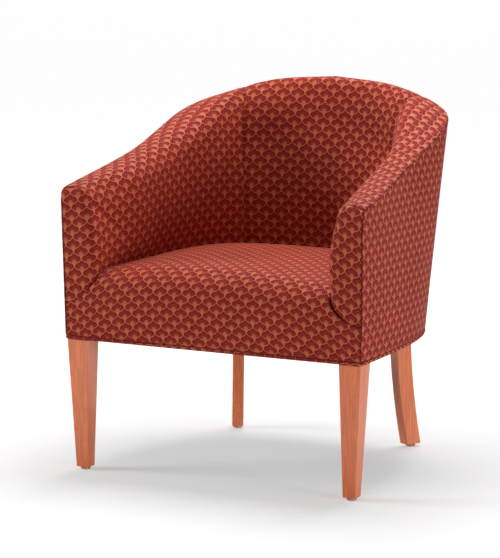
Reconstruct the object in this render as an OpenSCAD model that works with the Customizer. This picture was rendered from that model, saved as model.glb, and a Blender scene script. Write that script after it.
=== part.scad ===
// Upholstered tub chair: a padded shell with sloping arms on a wooden frame and four wooden legs.
// The chair faces -Y and stands on z = 0. The origin is the middle of its footprint, on the floor.
// Plan curves are given as depth from the front edge of the body, and place() shifts them.

/* [Body] */
// Half width of the body's lower edge along its straight sides
base_half_w = 330; // [322:1:336]
// Depth of the body at its lower edge
base_depth = 588; // [576:1:600]
// Height of the body's underside above the floor
body_z = 277; // [265:1:290]
// Half width between the rim seams along the arms
rim_half_w = 316; // [310:1:324]
// Extra half width of the rim where the arms flare out at the front
rim_flare = 22; // [12:1:26]
// Depth of the body at the rim of the back
rim_depth = 611; // [600:1:622]
// Height of the rim seam at the front of the arms
arm_z = 588; // [570:1:605]
// Height of the rim seam at the middle of the back
back_z = 786; // [765:1:805]
// How far the tops of the arm fronts lean forward
arm_lean = 12; // [6:1:16]

/* [Padding] */
// Half width of the seat between the arms
seat_half_w = 262; // [258:1:264]
// Depth of the seat from the front edge to the back
seat_depth = 511; // [500:1:516]
// Height of the seat where it meets the arms and the back
seat_edge_z = 423; // [415:1:430]
// Rise of the seat's crown above its edges
seat_crown = 24; // [16:1:30]
// Radius of the rounded front edges of the arms
front_round = 20; // [16:1:22]
// Thickness of the covering fabric with its backing
cloth = 2.5; // [2:0.1:3]
// Radius of the piping along the body's lower edge
welt_r = 3.5; // [3:0.1:4]

/* [Legs] */
// Side of the square front leg at its top
front_leg_top = 48; // [44:1:52]
// Side of the square front leg at its foot
front_leg_foot = 28; // [24:1:34]
// Front to back depth of the rear leg
rear_leg_depth = 41; // [36:1:46]
// Thickness of the rear leg
rear_leg_thick = 25; // [22:1:30]
// How far the foot of the rear leg sweeps outwards
rear_leg_sweep = 34; // [24:1:40]
// Angle between the rear leg's sweep and straight back
rear_leg_angle = 27.6; // [20:0.1:35]
// Height of the nail glides under the feet
glide_h = 6; // [4:0.5:8]

/* [Hidden] */
$fn = 32;

// Colours
fabric = [0.55, 0.17, 0.14];
cherry = [0.78, 0.42, 0.26];
beech = [0.82, 0.70, 0.52];
foam = [0.93, 0.88, 0.70];
steel = [0.62, 0.62, 0.64];
jute = [0.66, 0.52, 0.34];
black_cloth = [0.13, 0.13, 0.14];

// Plan curves: half width, straight run, depth, power of the squared oval, flare and its run
y_shift = -(rim_depth - arm_lean) / 2;
flare_run = 310;
base_curve = [base_half_w, 62, base_depth, 3.1, 3.6];
rim_curve = [rim_half_w, 412, rim_depth, 2.94, rim_flare];
seat_curve = [seat_half_w, 41, seat_depth, 3.1, 0];
roll_curve = [seat_half_w - 19, 103, rim_depth - 54, 3.2, 31];
roll_flare_run = 206;
plan_steps = 36;
// Share of the rise from arm front to back, at even steps along the rim
rim_rise = [0, 0.145, 0.317, 0.54, 0.758, 0.937, 1];
// Where along the roll and the seat's edge each even step of the rim lies
roll_steps = [0, 0.2, 0.39, 0.56, 0.665, 0.81, 1];
seat_steps = [0, 0.2, 0.395, 0.57, 0.69, 0.83, 1];

// Padding over the rim
rim_crown = 4;
roll_share = 0.42;
face_share = 0.5;
curl_share = 0.8;
face_swell = 5;
foam_gap = 0.5;
foam_max = 26;
tuck_z = 398;
lean_run = 258;
seam_u = 0.75;
seam_gap = 0.0006;
panel_gap = 0.7;

// Seat
deck_z = 366;
band_top_z = 355;
crease_z = 402;
crease_power = 2.2;
seat_roll = 38;
roll_base_z = 378;
band_swell = 4;
seat_clear = 3;
pad_clear = 7.5;

// Frame
frame_z = body_z + 1;
rail_h = 68;
rail_in = 8;
rail_t = 25;
rail_top = frame_z + rail_h;
post_x = 295;
post_w = 31;
post_y = 21;
post_d = 36;
post_top = 534;
rear_post_w = 36;
rear_post_d = 34;
rear_post_lean = 3.1;
rear_post_top = 688;
post_in = 6;
post_top_slope = 13;
block_z = frame_z + 6;
block_h = 40;
bolt_r = 4;
insert_r = 6;
insert_h = 15;
play = 0.1;
screw_r = 2;
screw_head_r = 4;
dowel_r = 4;
spring_xs = [-150, -75, 0, 75, 150];
spring_pitch = 48;
spring_swing = 20;
spring_r = 1.8;
spring_rise = 9;

// Feet and bolts: depth is counted from the front edge of the body
leg_inset_x = 3.3;
leg_inset_y = 3.8;
outer_taper = 0.69;
leg_out = base_half_w + 3.6 - leg_inset_x;
front_foot = leg_out - front_leg_top / 2 - (front_leg_top - front_leg_foot) * (outer_taper - 0.5);
front_foot_y = leg_inset_y + front_leg_top / 2 + (front_leg_top - front_leg_foot) * (outer_taper - 0.5);
front_bolt = [309, 37];
rear_top = [193, 527];
rear_dir = [sin(rear_leg_angle), cos(rear_leg_angle)];
rear_foot = rear_top + rear_dir * rear_leg_sweep;

// General helpers
function mix(a, b, t) = a + (b - a) * t;
function clamp01(t) = max(0, min(1, t));
function pick(v, i) = v[max(0, min(len(v) - 1, i))];

// A smooth curve through values given at even steps of t from 0 to 1
function smooth(v, t) = let(
    n = len(v) - 1,
    i = min(n - 1, floor(clamp01(t) * n)),
    f = clamp01(t) * n - i,
    b = v[i],
    c = v[i + 1],
    a = i == 0 ? 2 * b - c : v[i - 1],
    d = i == n - 1 ? b : v[i + 2]
) 0.5 * (2 * b + (c - a) * f + (2 * a - 5 * b + 4 * c - d) * f * f + (3 * b - a - 3 * c + d) * f * f * f);

// Half of a plan outline, from the front corner to the middle of the back
function flare_at(y, flare, run) = flare / 2 * (1 + cos(180 * min(1, y / run)));
function plan_points(c, run) = [
    for (i = [0:plan_steps + 9]) let(
        a = 90 * max(0, i - 9) / plan_steps,
        y = i < 9 ? c[1] * i / 9 : c[1] + (c[2] - c[1]) * pow(sin(a), 2 / c[3])
    ) [c[0] * pow(cos(a), 2 / c[3]) + flare_at(y, c[4], run), y]
];
function run_lengths(p) = [
    for (i = 0, s = 0; i < len(p); s = s + norm(pick(p, i + 1) - p[i]), i = i + 1) s
];
function share_table(p, k) = let(s = run_lengths(p), n = len(p) - 1) [
    for (i = [0:n]) [s[i] / s[n], p[i][k]]
];
base_points = plan_points(base_curve, flare_run);
rim_points = plan_points(rim_curve, flare_run);
seat_points = plan_points(seat_curve, flare_run);
roll_points = plan_points(roll_curve, roll_flare_run);
base_table = [share_table(base_points, 0), share_table(base_points, 1)];
rim_table = [share_table(rim_points, 0), share_table(rim_points, 1)];
seat_table = [share_table(seat_points, 0), share_table(seat_points, 1)];
roll_table = [share_table(roll_points, 0), share_table(roll_points, 1)];
rim_length = run_lengths(rim_points)[len(rim_points) - 1];

// u runs from 0 at the right arm front over 1 at the middle of the back to 2 at the left arm front
function half_u(u) = u > 1 ? 2 - u : u;
function on_table(t, u) = [lookup(half_u(u), t[0]) * (u > 1 ? -1 : 1), lookup(half_u(u), t[1])];
function base_at(u) = on_table(base_table, u);
function rim_at(u) = on_table(rim_table, u);
function share_at(v, u) = u > 1 ? 2 - smooth(v, 2 - u) : smooth(v, u);
function seat_at(u) = on_table(seat_table, share_at(seat_steps, u));
function roll_at(u) = on_table(roll_table, share_at(roll_steps, u));
function corner_drop(u, c) = let(d = half_u(u) * rim_length)
    d < front_round ? front_round - sqrt(max(0, (front_round - c) ^ 2 - (front_round - d) ^ 2)) : c;
function rim_z(u) = arm_z + (back_z - arm_z) * smooth(rim_rise, half_u(u));
function tangent(u, d = 0.004) = let(t = base_at(u + d) + rim_at(u + d) - base_at(max(0, u - d)) - rim_at(max(0, u - d)))
    t / norm(t);
function outward(u) = [tangent(u)[1], -tangent(u)[0]];

// The arm fronts lean forward a little, and place() also moves the origin to the footprint's middle
function lean_at(y, z) = -arm_lean * (z - body_z) / (arm_z - front_round - body_z) * clamp01(1 - y / lean_run);
function place(p) = [p[0], p[1] + y_shift + lean_at(p[1], p[2]), p[2]];

// A point of the outside wall: v from 0 at the lower edge to 1 at the rim, moved in by inset
function outer(u, z, inset = 0) = let(
    v = (z - body_z) / (rim_z(u) - body_z),
    p = mix(base_at(u), rim_at(u), v) - outward(u) * inset
) place([p[0], p[1], z]);

// A point of the inside padding: w runs up the inner face, over the roll and out to the rim seam
function pad_width(u) = norm(rim_at(u) - roll_at(u));
function roll_r(u) = roll_share * pad_width(u);
function foam_t(u) = min(foam_max, roll_r(u) - 11);
function foam_back(u) = cloth + foam_gap + foam_t(u);
function pad(u, w, inset, edge = 0, low = tuck_z) = let(
    r = rim_at(u),
    q = roll_at(u),
    wide = pad_width(u),
    dir = (r - q) / wide,
    rr = roll_r(u),
    z_roll = rim_z(u) - rr,
    z_face = mix(low, z_roll, min(1, w / face_share)),
    t = (z_face - seat_edge_z) / (z_roll - seat_edge_z),
    face = mix(seat_at(u), q, max(0, t)) + dir * (inset - face_swell * sin(180 * clamp01(t))),
    a = 90 * (w - face_share) / (curl_share - face_share),
    g = (w - curl_share) / (1 - curl_share),
    e = w < curl_share ? rr - (rr - inset) * cos(a) : mix(rr, wide - edge, g),
    z = w < curl_share ? z_roll + (rr - inset + rim_crown) * sin(a) : rim_z(u) + rim_crown * (1 - g * g) - inset,
    p = w <= face_share ? face : q + dir * e
) [p[0], p[1], w <= face_share ? z_face : z];

// Rings of an arm pad: the front face, its rounded edge, then along the arm to the inner seam
function crease_at(x) = band_top_z
    + (crease_z - band_top_z) * pow(clamp01((leg_out + leg_inset_x - x) / (leg_out + leg_inset_x - seat_half_w)), crease_power);
function front_ring(a, w, inset, edge) = let(
    d = front_round - (front_round - inset) * cos(a),
    o = front_round - (front_round - inset) * sin(a),
    p = pad(d / rim_length, w, o, edge, crease_at(seat_half_w + o) + 1)
) [p[0], d, p[2]];
function front_cap(w, inset, edge) = let(
    p = front_ring(0, w, inset, edge),
    z = w < face_share ? mix(crease_at(leg_out) + 1, p[2], w / face_share) : p[2],
    side = mix(base_at(0), rim_at(0), (z - body_z) / (arm_z - body_z))
) [side[0] - edge, inset, z];
function arm_rings(inset, edge, us, ws) = concat(
    [[for (w = ws) place(front_cap(w, inset, edge))]],
    [for (a = [0:30:90]) [for (w = ws) place(front_ring(a, w, inset, edge))]],
    [for (u = us) [for (w = ws) place(pad(u, w, inset, edge))]]
);
function arm_under(back, edge, us, ws) = concat(
    [[for (w = ws) place(front_cap(w, foam_back(0), edge))]],
    [for (a = [0:30:90]) [for (w = ws) place(front_ring(a, w, foam_back(0), edge))]],
    [for (u = us) [for (w = ws) place(pad(u, w, foam_back(u) + back, edge))]]
);

// A closed sheet or pad between two grids of points, where rows across columns point from a to b
module slab(a, b) {
    n = len(a);
    m = len(a[0]);
    k = n * m;
    points = concat([for (r = a) each r], [for (r = b) each r]);
    sheet = [for (i = [0:n - 2], j = [0:m - 2]) [i * m + j, i * m + m + j, i * m + m + j + 1, i * m + j + 1]];
    under = [for (q = sheet) [q[0] + k, q[3] + k, q[2] + k, q[1] + k]];
    first = [for (j = [0:m - 2]) [j, j + 1, j + 1 + k, j + k]];
    last = [for (j = [0:m - 2]) let(s = (n - 1) * m) [s + j + k, s + j + 1 + k, s + j + 1, s + j]];
    low = [for (i = [0:n - 2]) let(s = i * m) [s, s + k, s + m + k, s + m]];
    high = [for (i = [0:n - 2]) let(s = i * m + m - 1) [s + m, s + m + k, s + k, s]];
    quads = concat(sheet, under, first, last, low, high);
    polyhedron(points, [for (q = quads) each [[q[0], q[1], q[2]], [q[0], q[2], q[3]]]]);
}

// A tube of the given radius along a list of points, open or closed into a loop
module tube(path, r, sides, loop = false) {
    n = len(path);
    dirs = [for (i = [0:n - 1]) let(
        a = loop ? path[(i + n - 1) % n] : pick(path, i - 1),
        b = loop ? path[(i + 1) % n] : pick(path, i + 1)
    ) (b - a) / norm(b - a)];
    points = [for (i = [0:n - 1], j = [0:sides - 1]) let(
        s = cross(dirs[i], [0, 0, 1]) / norm(cross(dirs[i], [0, 0, 1])),
        t = cross(s, dirs[i]),
        a = 360 * (j + 0.5) / sides
    ) path[i] + r * (s * cos(a) + t * sin(a))];
    rows = loop ? n : n - 1;
    walls = [for (i = [0:rows - 1], j = [0:sides - 1]) let(
        p = i * sides + j,
        q = i * sides + (j + 1) % sides,
        f = ((i + 1) % n) * sides
    ) each [[p, q, f + (j + 1) % sides], [p, f + (j + 1) % sides, f + j]]];
    ends = loop ? [] : [[for (j = [sides - 1:-1:0]) j], [for (j = [0:sides - 1]) (n - 1) * sides + j]];
    polyhedron(points, concat(walls, ends));
}

module left_side() { mirror([1, 0, 0]) children(); }
module at_depth(x, y, z) { translate([x, y + y_shift, z]) children(); }

// Legs and what holds them
module front_leg() {
    taper = front_leg_top - front_leg_foot;
    out_foot = leg_out - taper * outer_taper;
    y_foot = leg_inset_y + taper * outer_taper;
    color(cherry) difference() {
        intersection() {
            at_depth(0, 100, 0) rotate([90, 0, 0]) linear_extrude(height = 120) polygon([
                [leg_out - front_leg_top, body_z], [leg_out, body_z],
                [out_foot, glide_h], [out_foot - front_leg_foot, glide_h]
            ]);
            at_depth(leg_out - 60, 0, 0) rotate([90, 0, 90]) linear_extrude(height = 80) polygon([
                [leg_inset_y, body_z], [leg_inset_y + front_leg_top, body_z],
                [y_foot + front_leg_foot, glide_h], [y_foot, glide_h]
            ]);
        }
        at_depth(front_bolt[0], front_bolt[1], body_z - 42) cylinder(r = bolt_r + play, h = 50);
        at_depth(front_foot, front_foot_y, 0) cylinder(r = 1.2 + play, h = 22, $fn = 24);
    }
}

module rear_leg() {
    steps = 14;
    function half_depth(t) = mix(rear_leg_depth / 2 - 1.5, rear_leg_depth / 2, t);
    function sweep(t) = rear_leg_sweep * pow(1 - t, 1.8);
    outline = concat(
        [for (i = [0:steps]) let(t = i / steps) [sweep(t) + half_depth(t), mix(glide_h, body_z, t)]],
        [for (i = [steps:-1:0]) let(t = i / steps) [sweep(t) - half_depth(t), mix(glide_h, body_z, t)]]
    );
    color(cherry) difference() {
        at_depth(rear_top[0], rear_top[1], 0) rotate([0, 0, 90 - rear_leg_angle]) rotate([90, 0, 0])
            linear_extrude(height = rear_leg_thick, center = true) polygon(outline);
        at_depth(rear_top[0], rear_top[1], body_z - 42) cylinder(r = bolt_r + play, h = 50);
        at_depth(rear_foot[0], rear_foot[1], 0) cylinder(r = 1.2 + play, h = 22, $fn = 24);
    }
}

module at_feet() {
    for (s = [-1, 1]) {
        at_depth(s * front_foot, front_foot_y, 0) children();
        at_depth(s * rear_foot[0], rear_foot[1], 0) children();
    }
}

module at_bolts(z) {
    for (s = [-1, 1]) {
        at_depth(s * front_bolt[0], front_bolt[1], z) children();
        at_depth(s * rear_top[0], rear_top[1], z) children();
    }
}

module nail_glides() {
    color([0.72, 0.55, 0.45]) at_feet() rotate_extrude($fn = 48) polygon([
        [0, 0], [8.5, 0], [10, 1.2], [10, glide_h - 1.6], [9, glide_h],
        [1.2, glide_h], [1.2, 19], [0, 21]
    ]);
}

module hanger_bolts() {
    color(steel) at_bolts(body_z - 40) cylinder(r = bolt_r, h = 60);
}

module leg_inserts() {
    color(steel) at_bolts(frame_z) difference() {
        cylinder(r = insert_r, h = insert_h);
        translate([0, 0, -1]) cylinder(r = bolt_r + play, h = insert_h + 2);
    }
}

module bolt_pocket() {
    translate([0, 0, frame_z - 1]) cylinder(r = insert_r + play, h = insert_h + 1 + play);
    translate([0, 0, frame_z]) cylinder(r = bolt_r + 1, h = 22);
}

// Wooden frame
module dowel(s, gap) {
    for (z = [312, 333]) {
        at_depth(s * 272, 28, z) rotate([0, s * 90, 0]) cylinder(r = dowel_r + gap, h = 42, $fn = 24);
        at_depth(s * 313, 44, z) rotate([-90, 0, 0]) cylinder(r = dowel_r + gap, h = 36, $fn = 24);
    }
}

module front_rail() {
    color(beech) difference() {
        at_depth(-post_x + 0.2, rail_in, frame_z) cube([2 * post_x - 0.4, rail_t, rail_h]);
        dowel(1, play);
        dowel(-1, play);
        screw_holes();
        mirror([1, 0, 0]) screw_holes();
    }
}

function inset_points(us, inset) = [for (u = us) let(p = base_at(u) - outward(u) * inset) [p[0], p[1] + y_shift]];
module curved_rail(u_from, u_to, steps) {
    us = [for (i = [0:steps]) mix(u_from, u_to, i / steps)];
    back_us = [for (i = [steps:-1:0]) us[i]];
    translate([0, 0, frame_z]) linear_extrude(height = rail_h)
        polygon(concat(inset_points(us, rail_in), inset_points(back_us, rail_in + rail_t)));
}

module side_rail() {
    color(beech) difference() {
        curved_rail(0.075, 0.695, 16);
        dowel(1, play);
        screw_holes();
    }
}

module back_rail() {
    color(beech) difference() {
        curved_rail(0.785, 1.215, 16);
        screw_holes();
        mirror([1, 0, 0]) screw_holes();
    }
}

module arm_post() {
    color(beech) difference() {
        at_depth(post_x, post_y, frame_z) cube([post_w, post_d, post_top - frame_z]);
        at_depth(front_bolt[0], front_bolt[1], 0) bolt_pocket();
        dowel(1, play);
    }
}

module rear_post_body(grow) {
    at_depth(rear_top[0], rear_top[1], 0) rotate([0, 0, 90 - rear_leg_angle]) intersection() {
        translate([-100, -100, frame_z]) cube([200, 200, 500]);
        translate([0, 0, rear_post_top]) rotate([post_top_slope, 0, 0]) translate([-100, -100, -600]) cube([200, 200, 600]);
        translate([-post_in, 0, frame_z]) rotate([0, rear_post_lean, 0])
            translate([-rear_post_d / 2 - grow, -rear_post_w / 2 - grow, -20])
                cube([rear_post_d + 2 * grow, rear_post_w + 2 * grow, 520]);
    }
}

module rear_post() {
    color(beech) difference() {
        rear_post_body(0);
        at_depth(rear_top[0], rear_top[1], 0) bolt_pocket();
    }
}

// A sawn rail under the rim: four corners at each ring, inside the padding and the outside cover
module top_rail(u_from, u_to, steps, drop) {
    us = [for (i = [0:steps]) mix(u_from, u_to, i / steps)];
    rows = [for (u = us) let(
        q = roll_at(u),
        wide = pad_width(u),
        dir = (rim_at(u) - q) / wide,
        z = rim_z(u) - foam_back(u) - 2,
        near = q + dir * (foam_back(u) + 8)
    ) [place([near[0], near[1], z - drop]), place([near[0], near[1], z]),
        outer(u, z - drop, cloth + 4.5), outer(u, z, cloth + 4.5)]];
    color(beech) slab([for (r = rows) [r[0], r[1]]], [for (r = rows) [r[2], r[3]]]);
}

module back_slat() {
    color(beech) intersection() {
        at_depth(-50, 500, rail_top) cube([100, 130, 733 - rail_top]);
        at_depth(-35, 565.5, rail_top) rotate([-2.8, 0, 0]) translate([0, 0, -20]) cube([70, 13.5, 440]);
    }
}

module front_block() {
    color(beech) difference() {
        at_depth(0, 0, block_z) linear_extrude(height = block_h) polygon([
            [294.6, 33.4], [225, 33.4], [225, 45], [286, 118], [299, 118], [299, 57.6], [294.6, 57.6]
        ]);
        screw_holes();
    }
}

module rear_block() {
    us = [for (i = [0:8]) mix(0.645, 0.855, i / 8)];
    ends = [for (u = [0.835, 0.665]) let(p = base_at(u) - outward(u) * 62) [p[0], p[1] + y_shift]];
    color(beech) difference() {
        translate([0, 0, block_z]) linear_extrude(height = block_h)
            polygon(concat(inset_points(us, rail_in + rail_t + 1), ends));
        rear_post_body(0.4);
        screw_holes();
    }
}

// Screws of the right side's two blocks, each head sunk in its block
module at_screws() {
    at_depth(250, 54, block_z + 20) rotate([0, 0, -90]) children();
    at_depth(268, 82, block_z + 20) children();
    for (u = [0.685, 0.815]) {
        n = outward(u);
        p = base_at(u) - n * 54;
        at_depth(p[0], p[1], block_z + 20) rotate([0, 0, atan2(n[1], n[0])]) children();
    }
}
module screw_shape(gap, head_room) {
    rotate([0, 90, 0]) cylinder(r = screw_r + gap, h = 40, $fn = 24);
    translate([-head_room, 0, 0]) rotate([0, 90, 0]) cylinder(r = screw_head_r + gap, h = head_room, $fn = 24);
}
module screw_holes() { at_screws() screw_shape(play, 60); }
module block_screws() {
    color(steel) at_screws() screw_shape(0, 2.5);
    color(steel) mirror([1, 0, 0]) at_screws() screw_shape(0, 2.5);
}

module frame_dowels() {
    color(beech) dowel(1, 0);
    color(beech) dowel(-1, 0);
}

// Seat suspension
function spring_end(x) = base_curve[1]
    + (base_depth - base_curve[1]) * pow(1 - pow(abs(x) / base_half_w, base_curve[3]), 1 / base_curve[3]) - 34;
module spring(x) {
    y_from = 22;
    y_to = spring_end(x);
    turns = round((y_to - y_from) / spring_pitch);
    steps = turns * 6;
    path = [for (i = [0:steps]) let(t = i / steps) [
        x + spring_swing * sin(360 * turns * t),
        mix(y_from, y_to, t) + y_shift,
        rail_top + 4 + spring_rise * sin(180 * t)
    ]];
    tube(path, spring_r, 5);
}
module seat_springs() { color(steel) for (x = spring_xs) spring(x); }

module spring_clip() {
    difference() {
        translate([-8, -7, 0]) cube([16, 14, 7.6]);
        translate([-12, -9, 1.8]) cube([24, 12, 4.4]);
    }
}
module spring_clips() {
    color(steel) for (x = spring_xs) {
        at_depth(x, 20, rail_top + 0.02) mirror([0, 1, 0]) spring_clip();
        at_depth(x, spring_end(x) + 2, rail_top + 0.02) spring_clip();
    }
}

module spring_tie_wires() {
    color(steel) for (t = [0.34, 0.66]) {
        z = rail_top + 4 + spring_rise * sin(180 * t) - spring_r - 2.6;
        at_depth(-185, mix(22, spring_end(0), t), z) rotate([0, 90, 0]) cylinder(r = 1.5, h = 370, $fn = 16);
    }
}

// Half width of the seat at a depth, and its plan outline
function seat_w(y) = let(c = seat_curve, t = max(0, y - c[1]) / (c[2] - seat_clear - c[1]))
    (c[0] - seat_clear) * pow(clamp01(1 - pow(t, c[3])), 1 / c[3]);
module seat_decking() {
    ys = [30, 100, 200, 300, 380, 440, 480, 500, 506];
    color(jute) at_depth(0, 0, deck_z) linear_extrude(height = 2) polygon(concat(
        [for (y = ys) [seat_w(y) - 2, y]],
        [for (i = [len(ys) - 1:-1:0]) [2 - seat_w(ys[i]), ys[i]]]
    ));
}

module front_padding() {
    color(foam) at_depth(-325, 3, 285) cube([650, 4.5, 66]);
}

// Seat surface: x and depth of each row, then the fall over the front roll and the front band
seat_ys = [507.5, 500, 480, 445, 395, 330, 250, 170, 100, 60, seat_roll];
seat_cols = [for (i = [-8:8]) sign(i) * pow(abs(i) / 8, 0.8)];
function crown_at(x, y) = seat_crown * (1 - pow(abs(x) / seat_half_w, 2.6)) * (1 - pow(abs(y - 235) / 285, 2.6));
function seat_top(c, y, drop) = let(x = c * seat_w(y)) place([x, y, seat_edge_z + crown_at(x, y) - drop]);
function seat_fall(c, a, drop) = let(
    rise = seat_edge_z + crown_at(c * seat_w(seat_roll), seat_roll) - roll_base_z,
    x = c * max(seat_w(seat_roll), band_w(roll_base_z + (seat_edge_z - roll_base_z) * cos(a)) - 1),
    y = seat_roll - (seat_roll + band_swell - drop) * sin(a),
    z = roll_base_z + (rise - drop) * cos(a)
) place([x, y, z]);
band_zs = [370, 362, 358, band_top_z, 335, 310, body_z + 2 * welt_r + 1];
function band_w(z) = z >= crease_z ? seat_half_w - seat_clear
    : leg_out + leg_inset_x - (leg_out + leg_inset_x - seat_half_w + seat_clear)
        * pow(clamp01((z - band_top_z) / (crease_z - band_top_z)), 1 / crease_power);
function seat_band(c, z, drop) = place([c * (band_w(z) - 1), drop - band_swell * sin(90 * clamp01((z - 284) / 60)), z]);
module seat_cover() {
    function grid(drop) = [for (c = seat_cols) concat(
        [for (i = [len(band_zs) - 1:-1:0]) seat_band(c, band_zs[i], drop)],
        [for (a = [90:-22.5:22.5]) seat_fall(c, a, drop)],
        [for (i = [len(seat_ys) - 1:-1:0]) seat_top(c, seat_ys[i], drop)]
    )];
    color(fabric) slab(grid(cloth), grid(0));
}
module seat_foam() {
    drop = cloth + foam_gap;
    top = [for (c = seat_cols) concat(
        [for (a = [90:-22.5:22.5]) seat_fall(c, a, drop)],
        [for (i = [len(seat_ys) - 1:-1:0]) seat_top(c, seat_ys[i], drop)]
    )];
    under = [for (r = top) [for (p = r) [p[0], p[1], deck_z + 2.5]]];
    color(foam) slab(under, top);
}

// Inside padding and covers
face_ws = [0, 0.12, 0.25, 0.38, 0.5];
roll_ws = [0.575, 0.65, 0.725, 0.8, 0.9, 1];
pad_ws = concat(face_ws, roll_ws);
foam_ws = concat(face_ws, [0.575, 0.65, 0.725, 0.8, 1]);
arm_us = [for (i = [0:12]) mix(0.06, seam_u - seam_gap, i / 12)];
back_us = [for (i = [0:12]) mix(seam_u + seam_gap, 2 - seam_u - seam_gap, i / 12)];

module inside_arm_cover() { color(fabric) slab(arm_rings(0, 0, arm_us, pad_ws), arm_rings(cloth, 0, arm_us, pad_ws)); }
module inside_arm_foam() {
    drop = cloth + foam_gap;
    color(foam) slab(arm_rings(drop, pad_clear, arm_us, foam_ws), arm_under(0, pad_clear, arm_us, foam_ws));
}
function back_grid(inset, edge, ws) = [for (u = back_us) [for (w = ws) place(pad(u, w, inset, edge))]];
module inside_back_cover() { color(fabric) slab(back_grid(0, 0, pad_ws), back_grid(cloth, 0, pad_ws)); }
module inside_back_foam() {
    under = [for (u = back_us) [for (w = foam_ws) place(pad(u, w, foam_back(u), pad_clear))]];
    color(foam) slab(back_grid(cloth + foam_gap, pad_clear, foam_ws), under);
}

// Webbing behind the foam, from the seat rails to the top rails
module web_strip(u) {
    half = 25 / rim_length;
    us = [for (i = [-2:2]) u + i * half / 2];
    function layer(d) = [for (v = us) [for (w = [0, 0.17, 0.33, 0.5]) place(pad(v, w, foam_back(v) + d, 0, rail_top + 12))]];
    color(jute) slab(layer(2.4), layer(3.9));
}
module back_webbing() { for (u = [0.82, 0.92, 1.08, 1.18]) web_strip(u); }
module arm_webbing() { for (u = [0.2, 0.35, 0.5]) web_strip(u); }

// Outside covers and the card strips that back their top seams
module outside_panel(us) {
    zs = [0, 0.34, 0.67, 1];
    low = body_z + 2 * welt_r + 0.6;
    function layer(d) = [for (u = us) [for (t = zs)
        outer(u, mix(low, rim_z(u) - corner_drop(u, cloth + panel_gap), t), d)]];
    color(fabric) slab(layer(cloth), layer(0));
}
panel_front_us = [4, 8, 14, 20, 34] / rim_length;
module outside_arm_cover() {
    outside_panel(concat(panel_front_us, arm_us));
}
module outside_back_cover() { outside_panel(back_us); }
module card_strip(us) {
    function layer(d) = [for (u = us) [for (t = [15, 4.5]) outer(u, rim_z(u) - t, cloth + d)]];
    color([0.70, 0.62, 0.48]) slab(layer(1.9), layer(0.4));
}
module tack_strips() {
    card_strip(arm_us);
    left_side() card_strip(arm_us);
    card_strip(back_us);
}

// Piping round the lower edge, the cloth under the seat and its staples
module bottom_welt() {
    side_us = [for (i = [1:26]) i / 26 * 0.985 + 0.015];
    right = concat(
        [[0, 2.5], [160, 2.5], [324, 2.5], [329, 3.4], [331.3, 6], [331.5, 9]],
        [for (u = side_us) let(p = base_at(u) - outward(u) * (welt_r - 1)) [p[0], p[1]]]
    );
    n = len(right);
    ring = concat(right, [for (i = [n - 2:-1:1]) [-right[i][0], right[i][1]]]);
    path = [for (p = ring) [p[0], p[1] + y_shift, body_z + welt_r + 0.1]];
    color(fabric) tube(path, welt_r, 8, true);
}

module dust_cover() {
    us = [for (i = [0:40]) mix(0.02, 1.98, i / 40)];
    color(black_cloth) difference() {
        translate([0, 0, body_z]) linear_extrude(height = 1) polygon(inset_points(us, 9));
        at_bolts(body_z - 1) cylinder(r = bolt_r + 1, h = 3);
    }
}

module staple(x, y, turn) {
    at_depth(x, y, body_z - 0.7) rotate([0, 0, turn]) translate([-5, -0.6, 0]) cube([10, 1.2, 0.65]);
}
module dust_cover_staples() {
    color(steel) for (x = [-240:40:240]) staple(x, 22, 0);
    color(steel) for (s = [-1, 1], y = [90:45:405]) let(b = base_half_w - 22 - 40 * pow(max(0, y - 150) / 300, 2))
        staple(s * b, y, 90);
    color(steel) for (x = [-120:40:120]) staple(x, base_depth - 26 - pow(x / 60, 2), 0);
}

left_side() front_leg();  // front_leg_left
front_leg();  // front_leg_right
left_side() rear_leg();  // rear_leg_left
rear_leg();  // rear_leg_right
nail_glides();
hanger_bolts();
leg_inserts();
front_rail();
left_side() side_rail();  // side_rail_left
side_rail();  // side_rail_right
back_rail();
left_side() arm_post();  // arm_post_left
arm_post();  // arm_post_right
left_side() rear_post();  // rear_post_left
rear_post();  // rear_post_right
left_side() top_rail(0.03, 0.7485, 12, 32);  // arm_top_rail_left
top_rail(0.03, 0.7485, 12, 32);  // arm_top_rail_right
top_rail(0.7515, 1.2485, 12, 32);  // back_top_rail
back_slat();
left_side() front_block();  // front_block_left
front_block();  // front_block_right
left_side() rear_block();  // rear_block_left
rear_block();  // rear_block_right
block_screws();
frame_dowels();
seat_springs();
spring_clips();
spring_tie_wires();
seat_decking();
front_padding();
seat_foam();
seat_cover();
inside_back_foam();
left_side() inside_arm_foam();  // inside_arm_foam_left
inside_arm_foam();  // inside_arm_foam_right
inside_back_cover();
left_side() inside_arm_cover();  // inside_arm_cover_left
inside_arm_cover();  // inside_arm_cover_right
back_webbing();
left_side() arm_webbing();  // arm_webbing_left
arm_webbing();  // arm_webbing_right
outside_back_cover();
left_side() outside_arm_cover();  // outside_arm_cover_left
outside_arm_cover();  // outside_arm_cover_right
tack_strips();
bottom_welt();
dust_cover();
dust_cover_staples();
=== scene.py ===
"""Looks of an upholstered tub chair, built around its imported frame.

Lengths are in millimetres until a mesh is made. Plan curves are given as depth from the
front edge of the body, and place() moves them to the row frame.
"""

import math

import bmesh
import bpy
import numpy as np
from mathutils import Matrix, Vector


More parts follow.
